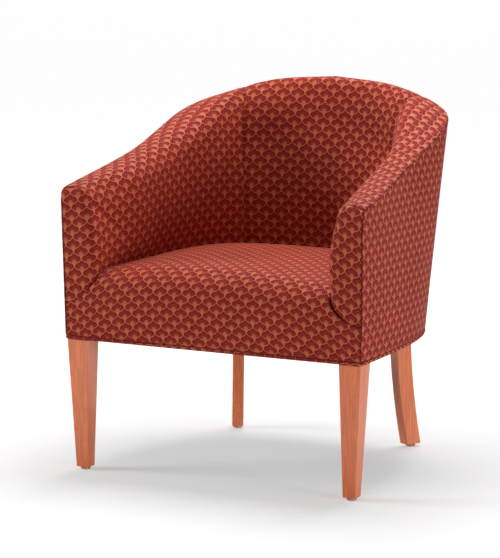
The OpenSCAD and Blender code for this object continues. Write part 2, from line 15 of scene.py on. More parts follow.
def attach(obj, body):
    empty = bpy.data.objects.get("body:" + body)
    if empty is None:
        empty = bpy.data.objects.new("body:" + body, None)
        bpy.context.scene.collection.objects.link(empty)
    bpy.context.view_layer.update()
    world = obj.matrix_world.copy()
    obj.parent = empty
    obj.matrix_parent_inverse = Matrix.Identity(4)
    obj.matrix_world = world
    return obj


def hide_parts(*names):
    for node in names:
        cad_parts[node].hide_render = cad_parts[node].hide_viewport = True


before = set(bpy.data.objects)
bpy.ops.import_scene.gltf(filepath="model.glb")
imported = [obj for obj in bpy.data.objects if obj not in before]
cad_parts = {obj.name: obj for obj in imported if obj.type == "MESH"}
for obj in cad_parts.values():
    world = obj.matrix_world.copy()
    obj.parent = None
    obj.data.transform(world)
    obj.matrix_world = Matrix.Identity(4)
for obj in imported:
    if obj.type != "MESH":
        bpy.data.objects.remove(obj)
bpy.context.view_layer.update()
scene = bpy.context.scene
MM = 0.001
PI = math.pi

# Body, padding and seat, as in the part's source. FACE_SWELL and SEAT_ROLL are larger here for softer
# pads, and the gaps between pieces (SEAM_GAP, PANEL_GAP, SEAT_CLEAR) are this scene's own.
BODY_Z, ARM_Z, BACK_Z, ARM_LEAN, LEAN_RUN = 277, 588, 786, 12, 258
RIM_DEPTH, FLARE_RUN, ROLL_FLARE_RUN = 611, 310, 206
SEAT_EDGE_Z, SEAT_CROWN, SEAT_HALF_W, FRONT_ROUND = 423, 24, 262, 20
CLOTH, FOAM_GAP, FOAM_MAX, WELT_R, PAD_CLEAR = 2.5, 0.5, 26, 3.5, 7.5
RIM_CROWN, ROLL_SHARE, FACE, CURL, FACE_SWELL, TUCK_Z = 4, 0.42, 0.5, 0.8, 9, 398
SEAM_U, SEAM_GAP, PANEL_GAP = 0.75, 0.00012, 0.7
DECK_Z, BAND_TOP_Z, CREASE_Z, CREASE_POWER = 366, 355, 402, 2.2
SEAT_ROLL, ROLL_BASE_Z, SEAT_CLEAR, SEAT_DEPTH = 56, 378, 0.8, 511
BAND_SWELL, BAND_SWELL_Z, BAND_SWELL_RUN = 4, 284, 60
# The back's top roll: its height against an arm's, its depth as a share of the pad's width, and where
# along the rim it takes over
BACK_TALL, BACK_DEEP, BACK_FROM = 4.0, 0.8, (0.6, 0.86)
# Where the crease between seat and arm front fades out, in mm to the left of the middle
JOINED = (270, 304)
CREASE_GAP, LAP = 0.3, {"right": 1.6, "left": 4.0}
BASE_POWER, SEAT_START, SEAT_END = 3.1, 41, 507.5
CROWN_MID, CROWN_REACH, CROWN_POWER = 235, 285, 2.6
Y_SHIFT = -(RIM_DEPTH - ARM_LEAN) / 2
RIM_RISE = [0, 0.145, 0.317, 0.54, 0.758, 0.937, 1]
ROLL_STEPS = [0, 0.2, 0.39, 0.56, 0.665, 0.81, 1]
SEAT_STEPS = [0, 0.2, 0.395, 0.57, 0.69, 0.83, 1]

# Legs
LEG_TOP, LEG_FOOT, GLIDE_H, LEG_OUT, LEG_IN_Y, OUTER_TAPER = 48, 28, 6, 330.3, 3.8, 0.69
BODY_SIDE = 333.6
REAR_TOP, REAR_ANGLE, REAR_SWEEP, REAR_DEPTH, REAR_THICK = (193, 527), 27.6, 34, 41, 25
SWEEP_POWER, EASED_EDGE = 1.8, 1.8


def mix(a, b, t):
    return a + (b - a) * t


def clamp01(t):
    return np.clip(t, 0, 1)


def smooth(values, t):
    """A smooth curve through values given at even steps of t from 0 to 1."""
    v = np.array(values, float)
    v = np.concatenate([[2 * v[0] - v[1]], v, [2 * v[-1] - v[-2]]])
    n = len(values) - 1
    x = clamp01(t) * n
    i = np.minimum(n - 1, np.floor(x)).astype(int)
    f = x - i
    a, b, c, d = v[i], v[i + 1], v[i + 2], v[i + 3]
    curve = 2 * b + (c - a) * f + (2 * a - 5 * b + 4 * c - d) * f**2
    return 0.5 * (curve + (3 * b - a - 3 * c + d) * f**3)


def step(low, high, x):
    """0 below low, 1 above high, eased between."""
    t = clamp01((x - low) / (high - low))
    return t * t * (3 - 2 * t)


def stack(*parts):
    return np.stack(parts, -1)


def pick(mask, a, b):
    """Points of a where the mask holds, and of b elsewhere."""
    return np.where(mask[..., None], a, b)


def running(steps, axis=0):
    """Running totals of steps, from 0."""
    total = np.cumsum(steps, axis)
    return np.concatenate([np.zeros_like(total.take([0], axis)), total], axis)


# Plan curves: u runs from 0 at the right arm front over 1 at the middle of the back to 2
STRAIGHT_STEPS = 60


def plan_table(half, straight, depth, power, flare, run):
    """Share of length, x, depth and length of half a plan: a straight side, then a superellipse."""
    a = np.radians(np.linspace(0, 90, 721))
    curved = straight + (depth - straight) * np.sin(a) ** (2 / power)
    y = np.concatenate([np.linspace(0, straight, STRAIGHT_STEPS, endpoint=False), curved])
    x = half * np.concatenate([np.ones(STRAIGHT_STEPS), np.maximum(np.cos(a), 0) ** (2 / power)])
    x = x + flare / 2 * (1 + np.cos(PI * np.minimum(1, y / run)))
    s = running(np.hypot(np.diff(x), np.diff(y)))
    return s / s[-1], x, y, s[-1]


BASE = plan_table(330, 62, 588, BASE_POWER, 3.6, FLARE_RUN)
RIM = plan_table(316, 412, RIM_DEPTH, 2.94, 22, FLARE_RUN)
SEAT = plan_table(SEAT_HALF_W, SEAT_START, SEAT_DEPTH, BASE_POWER, 0, FLARE_RUN)
ROLL = plan_table(SEAT_HALF_W - 19, 103, RIM_DEPTH - 54, 3.2, 31, ROLL_FLARE_RUN)
RIM_LENGTH = RIM[3]


def half_u(u):
    """The same place on the right half."""
    return np.where(u > 1, 2 - u, u)


def at(table, u):
    """Plan points of a curve at u."""
    h = half_u(u)
    x = np.interp(h, table[0], table[1]) * np.where(u > 1, -1, 1)
    return stack(x, np.interp(h, table[0], table[2]))


def share_at(steps, u):
    return np.where(u > 1, 2 - smooth(steps, 2 - u), smooth(steps, u))


def rim_z(u):
    return ARM_Z + (BACK_Z - ARM_Z) * smooth(RIM_RISE, half_u(u))


def outward(u):
    """The wall's direction outwards in plan."""
    a, b = np.maximum(0, u - 0.004), u + 0.004
    t = at(BASE, b) + at(RIM, b) - at(BASE, a) - at(RIM, a)
    t = t / np.linalg.norm(t, axis=-1, keepdims=True)
    return stack(t[..., 1], -t[..., 0])


def place(p):
    """Leans the arm fronts forward and moves the origin to the footprint's middle."""
    p = np.array(p, float)
    rise = (p[..., 2] - BODY_Z) / (ARM_Z - FRONT_ROUND - BODY_Z)
    lean = -ARM_LEAN * rise * clamp01(1 - p[..., 1] / LEAN_RUN)
    p[..., 1] += Y_SHIFT + lean
    return p


def join3(xy, z):
    return np.concatenate([xy, z[..., None]], -1)


def wall_u(q, lap):
    return np.maximum(lap, q + lap - lap * PI / 2) / RIM_LENGTH


def outer(q, z, inset, lap):
    """A point of the outside wall, q mm along it from the front, the first quarter turn with radius lap."""
    q, z, inset = np.broadcast_arrays(q, z, inset)
    u = wall_u(q, lap)
    v = (z - BODY_Z) / (rim_z(u) - BODY_Z)
    wall = mix(at(BASE, u), at(RIM, u), v[..., None]) - outward(u) * inset[..., None]
    a = PI / 2 - q / lap
    r = np.maximum(0.05, lap - inset)
    corner = stack(side_at(z) - lap + r * np.cos(a), lap - r * np.sin(a))
    return place(join3(pick(a > 0, corner, wall), z))


def pad_width(u):
    return np.linalg.norm(at(RIM, u) - at(ROLL, share_at(ROLL_STEPS, u)), axis=-1)


def roll_size(u, wide):
    """Depth and height of the top roll: the back rounds over more slowly than the arms."""
    back = step(*BACK_FROM, half_u(u))
    return mix(ROLL_SHARE, BACK_DEEP, back) * wide, mix(1.0, BACK_TALL, back) * ROLL_SHARE * wide


def foam_back(u):
    """How deep the foam's back lies below the cloth."""
    return CLOTH + FOAM_GAP + np.minimum(FOAM_MAX, ROLL_SHARE * pad_width(u) - 11)


def pad(u, w, inset, edge=0.0, low=TUCK_Z):
    """A point of the inside padding: w runs up the face, over the roll, out to the rim seam."""
    u, w, inset, edge, low = np.broadcast_arrays(u, w, inset, edge, low)
    r, q = at(RIM, u), at(ROLL, share_at(ROLL_STEPS, u))
    wide = np.linalg.norm(r - q, axis=-1)
    way = (r - q) / wide[..., None]
    rr, high = roll_size(u, wide)
    z_roll = rim_z(u) - high
    z_face = mix(low, z_roll, np.minimum(1, w / FACE))
    t = (z_face - SEAT_EDGE_Z) / (z_roll - SEAT_EDGE_Z)
    face = mix(at(SEAT, share_at(SEAT_STEPS, u)), q, np.maximum(t, 0)[..., None])
    face = face + way * (inset - FACE_SWELL * np.sin(PI * clamp01(t)))[..., None]
    a = PI / 2 * (w - FACE) / (CURL - FACE)
    g = (w - CURL) / (1 - CURL)
    e = np.where(w < CURL, rr - (rr - inset) * np.cos(a), mix(rr, wide - edge, g))
    top = rim_z(u) + RIM_CROWN * (1 - g * g) - inset
    z = np.where(w < CURL, z_roll + (high - inset + RIM_CROWN) * np.sin(a), top)
    p = pick(w <= FACE, face, q + way * e[..., None])
    return join3(p, np.where(w <= FACE, z_face, z))


def crease_at(x):
    """Height of the crease under the arm front, at x mm from the middle."""
    share = clamp01((BODY_SIDE - x) / (BODY_SIDE - SEAT_HALF_W))
    return BAND_TOP_Z + (CREASE_Z - BAND_TOP_Z) * share**CREASE_POWER


def side_at(z):
    """Half width of the body at its front."""
    return mix(BASE[1][0], RIM[1][0], (z - BODY_Z) / (ARM_Z - BODY_Z))


def front_ring(a, w, inset, edge):
    """The round edge of the arm front: a is its angle from the front face."""
    d = FRONT_ROUND - (FRONT_ROUND - inset) * np.cos(a)
    o = FRONT_ROUND - (FRONT_ROUND - inset) * np.sin(a)
    p = pad(d / RIM_LENGTH, w, o, edge, crease_at(SEAT_HALF_W + o) + CREASE_GAP)
    p[..., 1] = d
    return p


def arm(r, w, inset, edge, lap):
    """The right arm's padding: r is 0 to 1 over the front face, to 2 round its edge, to 3 along the arm."""
    r, w, inset, edge = np.broadcast_arrays(r, w, inset, edge)
    edge = edge + lap * (1 - step(1.0, 1.41, r))
    first = front_ring(np.zeros_like(r), w, inset, edge)
    low_x = mix(side_at(BAND_TOP_Z) - edge, SEAT_HALF_W + FRONT_ROUND, clamp01(r))
    low = crease_at(low_x) + CREASE_GAP
    u = inset / RIM_LENGTH
    z_roll = rim_z(u) - ROLL_SHARE * pad_width(u)
    z = np.where(w < FACE, mix(low, z_roll, w / FACE), first[..., 2])
    cap = stack(mix(side_at(z) - edge, first[..., 0], clamp01(r)), inset, z)
    ring = front_ring(PI / 2 * clamp01(r - 1), w, inset, edge)
    along = pad(mix(FRONT_ROUND / RIM_LENGTH, SEAM_U - SEAM_GAP, clamp01(r - 2)), w, inset, edge)
    return place(pick(r <= 1, cap, pick(r <= 2, ring, along)))


def back_pad(u, w, inset, edge=0.0):
    return place(pad(u, w, inset, edge))


# Seat: v is 0 to 1 up the front band, to 2 over the front roll, to 3 back to the rear edge
SEAT_W = SEAT_HALF_W - SEAT_CLEAR
BAND_LOW_Z = BODY_Z + 2 * WELT_R + 1


def seat_w(y):
    """Half width of the seat's top at a depth."""
    t = np.maximum(0, y - SEAT_START) / (SEAT_DEPTH - SEAT_CLEAR - SEAT_START)
    return SEAT_W * clamp01(1 - t**BASE_POWER) ** (1 / BASE_POWER)


def crown_at(x, y):
    across = 1 - (np.abs(x) / SEAT_HALF_W) ** CROWN_POWER
    return SEAT_CROWN * across * (1 - (np.abs(y - CROWN_MID) / CROWN_REACH) ** CROWN_POWER)


def band_w(z):
    """Half width of the front band at a height."""
    share = clamp01((z - BAND_TOP_Z) / (CREASE_Z - BAND_TOP_Z)) ** (1 / CREASE_POWER)
    return np.where(z >= CREASE_Z, SEAT_W, BODY_SIDE - (BODY_SIDE - SEAT_W) * share)


def lap_at(x):
    """How far the outside panel on a side reaches round onto the front."""
    return np.where(x < 0, LAP["left"], LAP["right"])


def seat(c, v, drop):
    """A point of the seat's cloth: c runs from -1 to 1 across it."""
    c, v, drop = np.broadcast_arrays(c, v, drop)
    z = mix(BAND_LOW_Z, ROLL_BASE_Z, clamp01(v))
    band_x = c * np.minimum(band_w(z) - CREASE_GAP, side_at(z) - lap_at(c))
    swelling = np.sin(PI / 2 * clamp01((z - BAND_SWELL_Z) / BAND_SWELL_RUN))
    band_y = drop - BAND_SWELL * swelling * (1 - 0.9 * step(*JOINED, -band_x))
    band = stack(band_x, band_y, z)
    a = PI / 2 * (1 - clamp01(v - 1))
    side = seat_w(SEAT_ROLL)
    rise = SEAT_EDGE_Z + crown_at(c * side, SEAT_ROLL) - ROLL_BASE_Z
    fall_w = np.maximum(side, band_w(ROLL_BASE_Z + (SEAT_EDGE_Z - ROLL_BASE_Z) * np.cos(a)) - CREASE_GAP)
    fall_y = SEAT_ROLL - (SEAT_ROLL + BAND_SWELL - drop) * np.sin(a)
    fall = stack(c * fall_w, fall_y, ROLL_BASE_Z + (rise - drop) * np.cos(a))
    y = mix(SEAT_ROLL, SEAT_END, clamp01(v - 2))
    x = c * seat_w(y)
    top = stack(x, y, SEAT_EDGE_Z + crown_at(x, y) - drop)
    return place(pick(v <= 1, band, pick(v <= 2, fall, top)))


# Grids: lines in each direction, close together where an edge is turned in to a seam
TURN = np.array([0, 0.15, 0.4, 0.7, 1])


def turned(dist, radius):
    """How deep a cloth edge that rounds off into its seam lies at a distance from the seam."""
    d = np.minimum(np.maximum(dist, 0), radius)
    return radius - np.sqrt(np.maximum(radius**2 - (radius - d) ** 2, 0))


def lines(start, end, length, pitch, start_turn=0.0, end_turn=0.0):
    """Values from start to end over a length in mm, a pitch apart, with extra lines at turned edges."""
    count = max(2, round((length - start_turn - end_turn) / pitch))
    mm = np.linspace(start_turn, length - end_turn, count + 1)
    if start_turn:
        mm = np.concatenate([TURN[:-1] * start_turn, mm])
    if end_turn:
        mm = np.concatenate([mm, length - TURN[-2::-1] * end_turn])
    return mix(start, end, mm / length)


def cloth_grid(points, first_up, middle):
    """Cloth coordinates of a grid: across from column middle, and up from first_up at its lower edge."""
    up = first_up[:, None] + running(np.linalg.norm(np.diff(points, axis=1), axis=2), 1)
    d = np.linalg.norm(np.diff(points, axis=0), axis=2)
    across = running(np.sqrt(np.maximum(d**2 - np.diff(up, axis=0) ** 2, 0)))
    return stack(across - across[middle], up)


# How the cloth was pulled on a panel, about its middle: the pattern's shift across and up in mm, then how
# much it gains per 100 mm along (stretch, lean, tilt, rise) and per 100 mm squared (gather, twist, bow, sag)
PULL = {
    "seat": dict(middle=(0, 360), shift=(-14, -0.7), stretch=-2.7, bow=15, tilt=1, rise=-6.5, stop=0.85),
    "back": dict(middle=(-40, 640), shift=(-9.4, -6.8), stretch=1.5, lean=-1.7, bow=2.5, tilt=-0.8),
    "front_left": dict(middle=(-50, 470), shift=(-11, 2), stretch=5, lean=-4, tilt=12),
    "arm_left": dict(
        middle=(320, 560), shift=(18.4, 25.6), lean=3, bow=3, gather=-2.4, twist=3, tilt=3, sag=-1.5
    ),
    "front_right": dict(middle=(60, 470), shift=(0, 4), stretch=-9, lean=1.4, tilt=-20),
    "arm_right": dict(middle=(-280, 680), shift=(-32, 17.5), stretch=11, lean=-23, tilt=-4, rise=-4),
    "side_right": dict(
        middle=(240, 480), shift=(15.4, -0.3), stretch=5.6, lean=-4.5, bow=-7,
        gather=-1.8, twist=1.4, tilt=-2.6,
    ),
}
# Spacing of the grids in mm, w per mm at the rim seam and at the low edge, and lengths of runs in mm
PITCH, W_TURN, LOW_W, BACK_LOW_W = 5.0, 0.0054, 0.003, 0.0018
FACE_MM, ARM_MM, BAND_MM, SEAT_MM = 52, 620, 93, 470
RING_MM = FRONT_ROUND * PI / 2
# How far each edge rounds off into its seam, in mm
EDGE_TURN, SEAM_TURN, RIM_TURN, LOW_TURN, BAND_TURN, BACK_TURN = 2.5, 1.6, 2.4, 3.0, 2.0, 8.0
JOINED_TURN, CREASE_TURN, SEAT_CREASE_TURN, SEAT_SIDE_TURN = 0.2, 0.8, 0.4, 6.0
SEAM_PITCH, LONG_PITCH, GATHER, SIDE_GATHER, GATHER_REACH = 15.0, 37, 1.1, 0.7, 5
LEFT_PHASE, SIDE_PHASE, PLEAT_DEPTH = 1.3, 2.0, 2.6
VALLEY_LEAST, VALLEY_MORE, VALLEY_REACH = 1.0, 5.5, 9.0
BEND_DROP, BEND_MID, BEND_START, BEND_RUN, BEND_POWER = 17, 10, 90, 150, 1.6
SHEAR_ROW, SHEAR_RUN = 20, 0.35
# The seat: height of the band's joined part, half widths where its ends and its thin edge begin, and
# its thickness above the rail
JOIN_Z, END_X, THIN_X, FRONT_THICK, RAIL_TOP = 310, 326, 322, 18.0, (348, 356)
# Painted shade in the seams and creases: reach in mm and depth, and a distance that is out of reach
SEAM_PAINTED_SHADE, RIM_PAINTED_SHADE, LOW_PAINTED_SHADE, AWAY = (1.2, 0.2), (1.2, 0.5), (0.8, 0.2), 99


def pucker(x, phase):
    """Small even gathers along a seam, from 0 to 1."""
    short, long = np.sin(2 * PI * x / SEAM_PITCH + phase), np.sin(2 * PI * x / LONG_PITCH + 2 * phase)
    return 0.5 + 0.35 * short + 0.15 * long


def inner_valley(u, w):
    """Depth of the valley along the seam between an arm and the back, gone towards the rim."""
    dist = np.abs(half_u(u) - SEAM_U) * RIM_LENGTH * 0.85
    fade = 1 - step(0.62, 0.97, w)
    gather = 1 + 0.25 * np.sin(w * 90) * step(0.35, 0.6, w)
    return (VALLEY_LEAST + VALLEY_MORE * fade) * gather * np.exp(-((dist / VALLEY_REACH) ** 2))


def pad_lines(low_turn):
    """Lines up an inside pad: face, roll, then the top band to its turned edge."""
    start = low_turn * LOW_W
    face = np.linspace(start, FACE, 44)
    if low_turn:
        face = np.concatenate([TURN * start, face[1:]])
    roll = np.linspace(FACE, CURL, 10)[1:]
    band = lines(CURL, 1, 37, 4, 0, RIM_TURN)[1:]
    return np.concatenate([face, roll, band])


def pad_under(surface, r, w, back):
    """Underside of an inside pad: the foam's back, and cloth alone beyond the foam's outer edge."""
    thin = (1 - w) / W_TURN < PAD_CLEAR
    deep = surface(r, np.minimum(w, 0.999), back, PAD_CLEAR)
    return pick(thin, surface(r, w, 3.0, 0.0), deep)


def pleat_at(w, left):
    """Where the pleat lies round the arm front's top edge, and how deep it is there."""
    if left:
        return np.full_like(w, 1.72), PLEAT_DEPTH * step(0.8, 0.87, w) * (1 - step(0.95, 0.99, w))
    return mix(1.85, 1.6, clamp01((w - CURL) / (1 - CURL))), PLEAT_DEPTH * step(0.76, 0.84, w)


def front_bend(x):
    """How far the pattern's rows drop towards the front corners."""
    return BEND_DROP * (np.maximum(0, np.abs(x - BEND_MID) - BEND_START) / BEND_RUN) ** BEND_POWER


def pull(cloth, name):
    """The pattern's displacement over a panel."""
    if name not in PULL:
        return 0.0
    p = dict(stretch=0, lean=0, bow=0, gather=0, twist=0, tilt=0, sag=0, rise=0, stop=9)
    p.update(PULL[name])
    x = (cloth[..., 0] - p["middle"][0]) / 100
    y = np.minimum((cloth[..., 1] - p["middle"][1]) / 100, p["stop"])
    across = p["shift"][0] + p["stretch"] * x + p["lean"] * y + p["bow"] * y * y
    across = across + p["gather"] * x * x + p["twist"] * x * y
    up = p["shift"][1] + p["tilt"] * x + p["sag"] * x * x + p["rise"] * y
    return stack(across, up)


def painted_seam_shade(*edges):
    """Painted shade in the cloth's seams and creases, 0 to 1: each edge gives the distance to it, a reach and
    a depth.
    """
    return np.maximum.reduce([deep * np.exp(-((dist / reach) ** 2)) for dist, reach, deep in edges])


def with_painted_shade(cloth, painted_shade):
    """Cloth coordinates with the seams' painted shade as the third."""
    return np.concatenate([cloth, np.broadcast_to(painted_shade, cloth.shape[:-1])[..., None]], -1)


def flipped(left, *grids):
    """The grids as they are, or mirrored to the left side."""
    return [grid * [-1, 1, 1] for grid in grids] if left else list(grids)


# Panels: points of the cloth and of its underside, cloth coordinates, and how free of its seams it is
def arm_shape(side):
    """An arm's padding with its cover, over the rim and round the arm front."""
    left = side == "left"

    def surface(r, w, inset, edge=0.0):
        return arm(r, w, inset, edge, LAP[side])

    cap = lines(0, 1, FACE_MM, PITCH, EDGE_TURN)
    ring = np.linspace(1, 2, 25)[1:]
    along = lines(2, 3, ARM_MM, PITCH, 0, LOW_TURN)[1:]
    r = np.concatenate([cap, ring, along])[:, None]
    r, w = np.broadcast_arrays(r, pad_lines(LOW_TURN)[None, :])
    clean = surface(r, w, 0.0)
    last = len(cap) - 1
    u = mix(FRONT_ROUND / RIM_LENGTH, SEAM_U - SEAM_GAP, clamp01(r - 2))
    face_w = clean[:1, :, 0] - clean[last : last + 1, :, 0]
    to_side = np.where(r <= 1, np.abs(face_w) * r, 60.0)
    to_seam = (3 - r) * ARM_MM
    to_rim = (1 - w) / W_TURN
    to_low = w / LOW_W
    # The crease under the arm front fades out towards the left side
    joined = step(*JOINED, clean[..., 0]) if left else np.zeros_like(r)
    crease_turn = mix(CREASE_TURN, JOINED_TURN, joined)
    inset = np.maximum.reduce([
        np.where(w < 0.999, turned(to_side, EDGE_TURN), 0), turned(to_seam, SEAM_TURN),
        turned(to_rim, RIM_TURN), np.where(r < 2, turned(to_low, crease_turn), 0),
    ])
    gathers = GATHER * pucker(clean[..., 2], LEFT_PHASE if left else 0.0) * np.exp(-to_side / GATHER_REACH)
    inset = inset + np.where(r <= 1, gathers, 0) * step(0, 3, to_rim) * step(0, 8, to_low)
    inset = inset + np.where(r > 2, inner_valley(u, w), 0)
    pleat_r, pleat = pleat_at(w, left)
    past = (r - pleat_r) * RING_MM
    fold = pleat * np.exp(-((past / 1.2) ** 2)) - 0.35 * pleat * np.exp(-(((past - 3.2) / 2.2) ** 2))
    inset = inset + np.where((r > 1) & (r < 2), fold, 0)
    top = surface(r, w, inset)
    under = pad_under(surface, r, w, foam_back(np.where(r <= 2, 0.0, u)))
    under = pick((r <= 1) & (to_side < PAD_CLEAR), surface(r, w, 3.6), under)
    # The front face is one flat cloth that folds back over its edges, up to the pleat
    cloth = cloth_grid(clean, clean[:, 0, 2], last + len(ring))
    edge, face_lines = clean[last], int((w[0] <= FACE).sum())
    edge_at_z = np.interp(clean[..., 2], edge[:face_lines, 2], edge[:face_lines, 0])
    cloth[..., 0] += (edge[SHEAR_ROW, 0] - edge_at_z) * (1 - step(2, 2 + SHEAR_RUN, r))
    a = PI / 2 * clamp01(r - 1)
    tilt = PI / 2 * clamp01((w - FACE) / (CURL - FACE))
    edge_x = np.where(r <= 1, clean[..., 0], np.where(w < FACE, edge_at_z, edge[None, :, 0]))
    edge_z = np.where((r <= 1) | (w < FACE), clean[..., 2], edge[None, :, 2])
    flat = stack(
        edge[SHEAR_ROW, 0] - RING_MM - edge_x + FRONT_ROUND * a * np.cos(tilt),
        edge_z + FRONT_ROUND * a * np.sin(tilt),
    )
    soft = mix(0.25, 0.03, step(0.68, 0.84, w))
    folded = step(pleat_r - soft, pleat_r + soft, r)
    cloth = mix(flat, cloth, folded[..., None]) * [1 if left else -1, 1]
    behind = mix(step(2.0, 2.25, r), folded, step(0.6, 0.84, w))[..., None]
    cloth = cloth - mix(pull(cloth, "front_" + side), pull(cloth, "arm_" + side), behind)
    # Painted shade along the front's sides, the rim, the seam to the back, the crease under the arm front and
    # the pleat
    painted_shade = painted_seam_shade(
        (to_side, 1.8, 0.9), (to_rim, *RIM_PAINTED_SHADE), (to_seam, *SEAM_PAINTED_SHADE),
        (np.where(r < 2, to_low, AWAY), 1.6, 0.2 * (1 - joined)),
        (np.where(r < 2, past, AWAY), 0.9, 0.3 * pleat),
    )
    free = step(0, 40, np.minimum.reduce([to_side, to_seam, to_rim, to_low])) * step(1.0, 2.1, r)
    return *flipped(left, top, under), with_painted_shade(cloth, painted_shade), free


def back_shape():
    """The inside back's padding with its cover."""
    span = 1 - SEAM_U - SEAM_GAP
    u = lines(1 - span, 1 + span, 2 * span * RIM_LENGTH, PITCH, LOW_TURN, LOW_TURN)[:, None]
    u, w = np.broadcast_arrays(u, pad_lines(0)[None, :])
    clean = back_pad(u, w, 0.0)
    to_seam = (span - np.abs(u - 1)) * RIM_LENGTH
    to_rim = (1 - w) / W_TURN
    inset = np.maximum(turned(to_seam, SEAM_TURN), turned(to_rim, RIM_TURN)) + inner_valley(u, w)
    top = back_pad(u, w, inset)
    under = pad_under(back_pad, u, w, foam_back(u))
    cloth = cloth_grid(clean, clean[:, 0, 2], len(u) // 2) * [-1, 1]
    free = step(0, 45, np.minimum.reduce([to_seam, to_rim, w / BACK_LOW_W]))
    # Painted shade along the seams to the arms and at the rim
    painted_shade = painted_seam_shade((to_seam, *SEAM_PAINTED_SHADE), (to_rim, *RIM_PAINTED_SHADE))
    return top, under, with_painted_shade(cloth - pull(cloth, "back"), painted_shade), free


def seat_shape():
    """The seat's cushion with its cover, over the front roll and down the front band."""
    half = lines(0, 1, SEAT_HALF_W, PITCH, 0, SEAT_SIDE_TURN)
    c = np.concatenate([-half[:0:-1], half])[:, None]
    band = lines(0, 1, BAND_MM, PITCH, BAND_TURN)
    fall = np.linspace(1, 2, 15)[1:]
    back = lines(2, 3, SEAT_MM, PITCH, 0, BACK_TURN)[1:]
    v = np.concatenate([band, fall, back])[None, :]
    c, v = np.broadcast_arrays(c, v)
    clean = seat(c, v, 0.0)
    x, z = clean[..., 0], clean[..., 2]
    to_side = np.abs(clean[-1:, :, 0]) * (1 - np.abs(c))
    to_back, to_low = (3 - v) * SEAT_MM, v * BAND_MM
    joined = step(*JOINED, -x) * (z > JOIN_Z)
    # The band's ends are sewn to the outside panels, and above them its sides press on the arm pads
    at_end = np.abs(x) > END_X
    soft = mix(mix(SEAT_CREASE_TURN, JOINED_TURN, joined), SEAT_SIDE_TURN, step(2.1, 2.8, v))
    soft = np.where(at_end & (z < BAND_TOP_Z - 1), EDGE_TURN, soft)
    inset = np.maximum.reduce([turned(to_side, soft), turned(to_back, BACK_TURN), turned(to_low, BAND_TURN)])
    gathers = GATHER * pucker(z, np.where(x < 0, LEFT_PHASE, 0.0)) * np.exp(-to_side / GATHER_REACH)
    inset = inset + gathers * step(0, 6, BAND_TOP_Z - z) * step(0, 6, z - BAND_LOW_Z)
    top = seat(c, v, inset)
    # The underside clears the rail behind the band and rests on the decking
    thick = mix(CLOTH + 4.9, FRONT_THICK, step(*RAIL_TOP, z))
    under = seat(c, v, np.where(np.abs(x) > THIN_X, 4.4, thick))
    under[..., 2] = np.where(v <= 1, np.minimum(under[..., 2], DECK_Z), DECK_Z + 2.5)
    fall_y = mix(14.0, SEAT_ROLL, clamp01(v - 1)) + Y_SHIFT
    under[..., 1] = np.where((v > 1) & (v <= 2), fall_y, under[..., 1])
    # The pattern runs straight back over the roll, and its rows drop towards the front corners
    rise = running(np.where(v[:, 1:] > 1, np.hypot(np.diff(clean[..., 1]), np.diff(z)), 0), 1)
    up = np.where(v <= 1, z, z[:, len(band) - 1 : len(band)] + rise) + front_bend(x)
    free = step(0, 50, np.minimum(to_side, to_back)) * step(0.9, 1.6, v)
    cloth = stack(x, up)
    # Painted shade at the sides, where the seat meets the arms, and above the piping
    side_painted_shade = mix(0.7, 0.3 * (1 - joined), z > BAND_TOP_Z)
    painted_shade = painted_seam_shade((np.where(v < 2, to_side, AWAY), 2.0, side_painted_shade), (to_low, *LOW_PAINTED_SHADE))
    return top, under, with_painted_shade(cloth - pull(cloth, "seat"), painted_shade), free


def outside_shape(q, lap, front, panel, left=False):
    """An outside panel, from the piping up to the rim seam, at lengths q along the wall."""
    low = BODY_Z + 2 * WELT_R + 0.6
    u = wall_u(q, lap)
    d = half_u(u) * RIM_LENGTH - lap * np.sin(np.maximum(0, PI / 2 - q / lap))
    c = CLOTH + PANEL_GAP
    rest = (FRONT_ROUND - c) ** 2 - np.maximum(FRONT_ROUND - d, 0) ** 2
    curve = FRONT_ROUND - np.sqrt(np.maximum(0, rest))
    high = (rim_z(u) - np.where(d < FRONT_ROUND, curve, c))[:, None]
    t = lines(0, 1, 400, PITCH * 1.2, EDGE_TURN, EDGE_TURN)[None, :]
    q, z = np.broadcast_arrays(q[:, None], mix(low, high, t))
    clean = outer(q, z, 0.0, lap)
    to_start, to_end = q - q.min(), q.max() - q
    inset = np.maximum.reduce([
        turned(to_start, min(EDGE_TURN, lap) if front else EDGE_TURN), turned(to_end, EDGE_TURN),
        turned(z - low, 2.3), turned(high - z, 2.0),
    ])
    if front:
        inset = inset + SIDE_GATHER * pucker(z, SIDE_PHASE) * np.exp(-to_start / GATHER_REACH)
    top = outer(q, z, inset, lap)
    under = outer(q, z, np.maximum(inset + 0.6, CLOTH + 0.3), lap)
    cloth = cloth_grid(clean, clean[:, 0, 2], 0 if front else len(q) // 2)
    cloth = cloth * [-1 if left else 1, 1]
    # Painted shade at the panel's edges, at the rim seam and above the piping
    painted_shade = painted_seam_shade(
        (to_start, 1.6, 0.9 if front else 0.6), (to_end, 2.0, 0.6),
        (high - z, *RIM_PAINTED_SHADE), (z - low, *LOW_PAINTED_SHADE),
    )
    return *flipped(left, top, under), with_painted_shade(cloth - pull(cloth, panel), painted_shade)


def side_lines(lap):
    """Lines of an outside arm panel, close together round its front edge."""
    span = (SEAM_U - SEAM_GAP) * RIM_LENGTH - lap + lap * PI / 2
    near = np.array([0, 0.4, 0.9, 1.5, 2.2, 3.0, 4.0, 5.2, 6.6, 8.5])
    far = np.linspace(12, span - EDGE_TURN, round(span / PITCH))
    return np.concatenate([near, far, span - TURN[-2::-1] * EDGE_TURN])


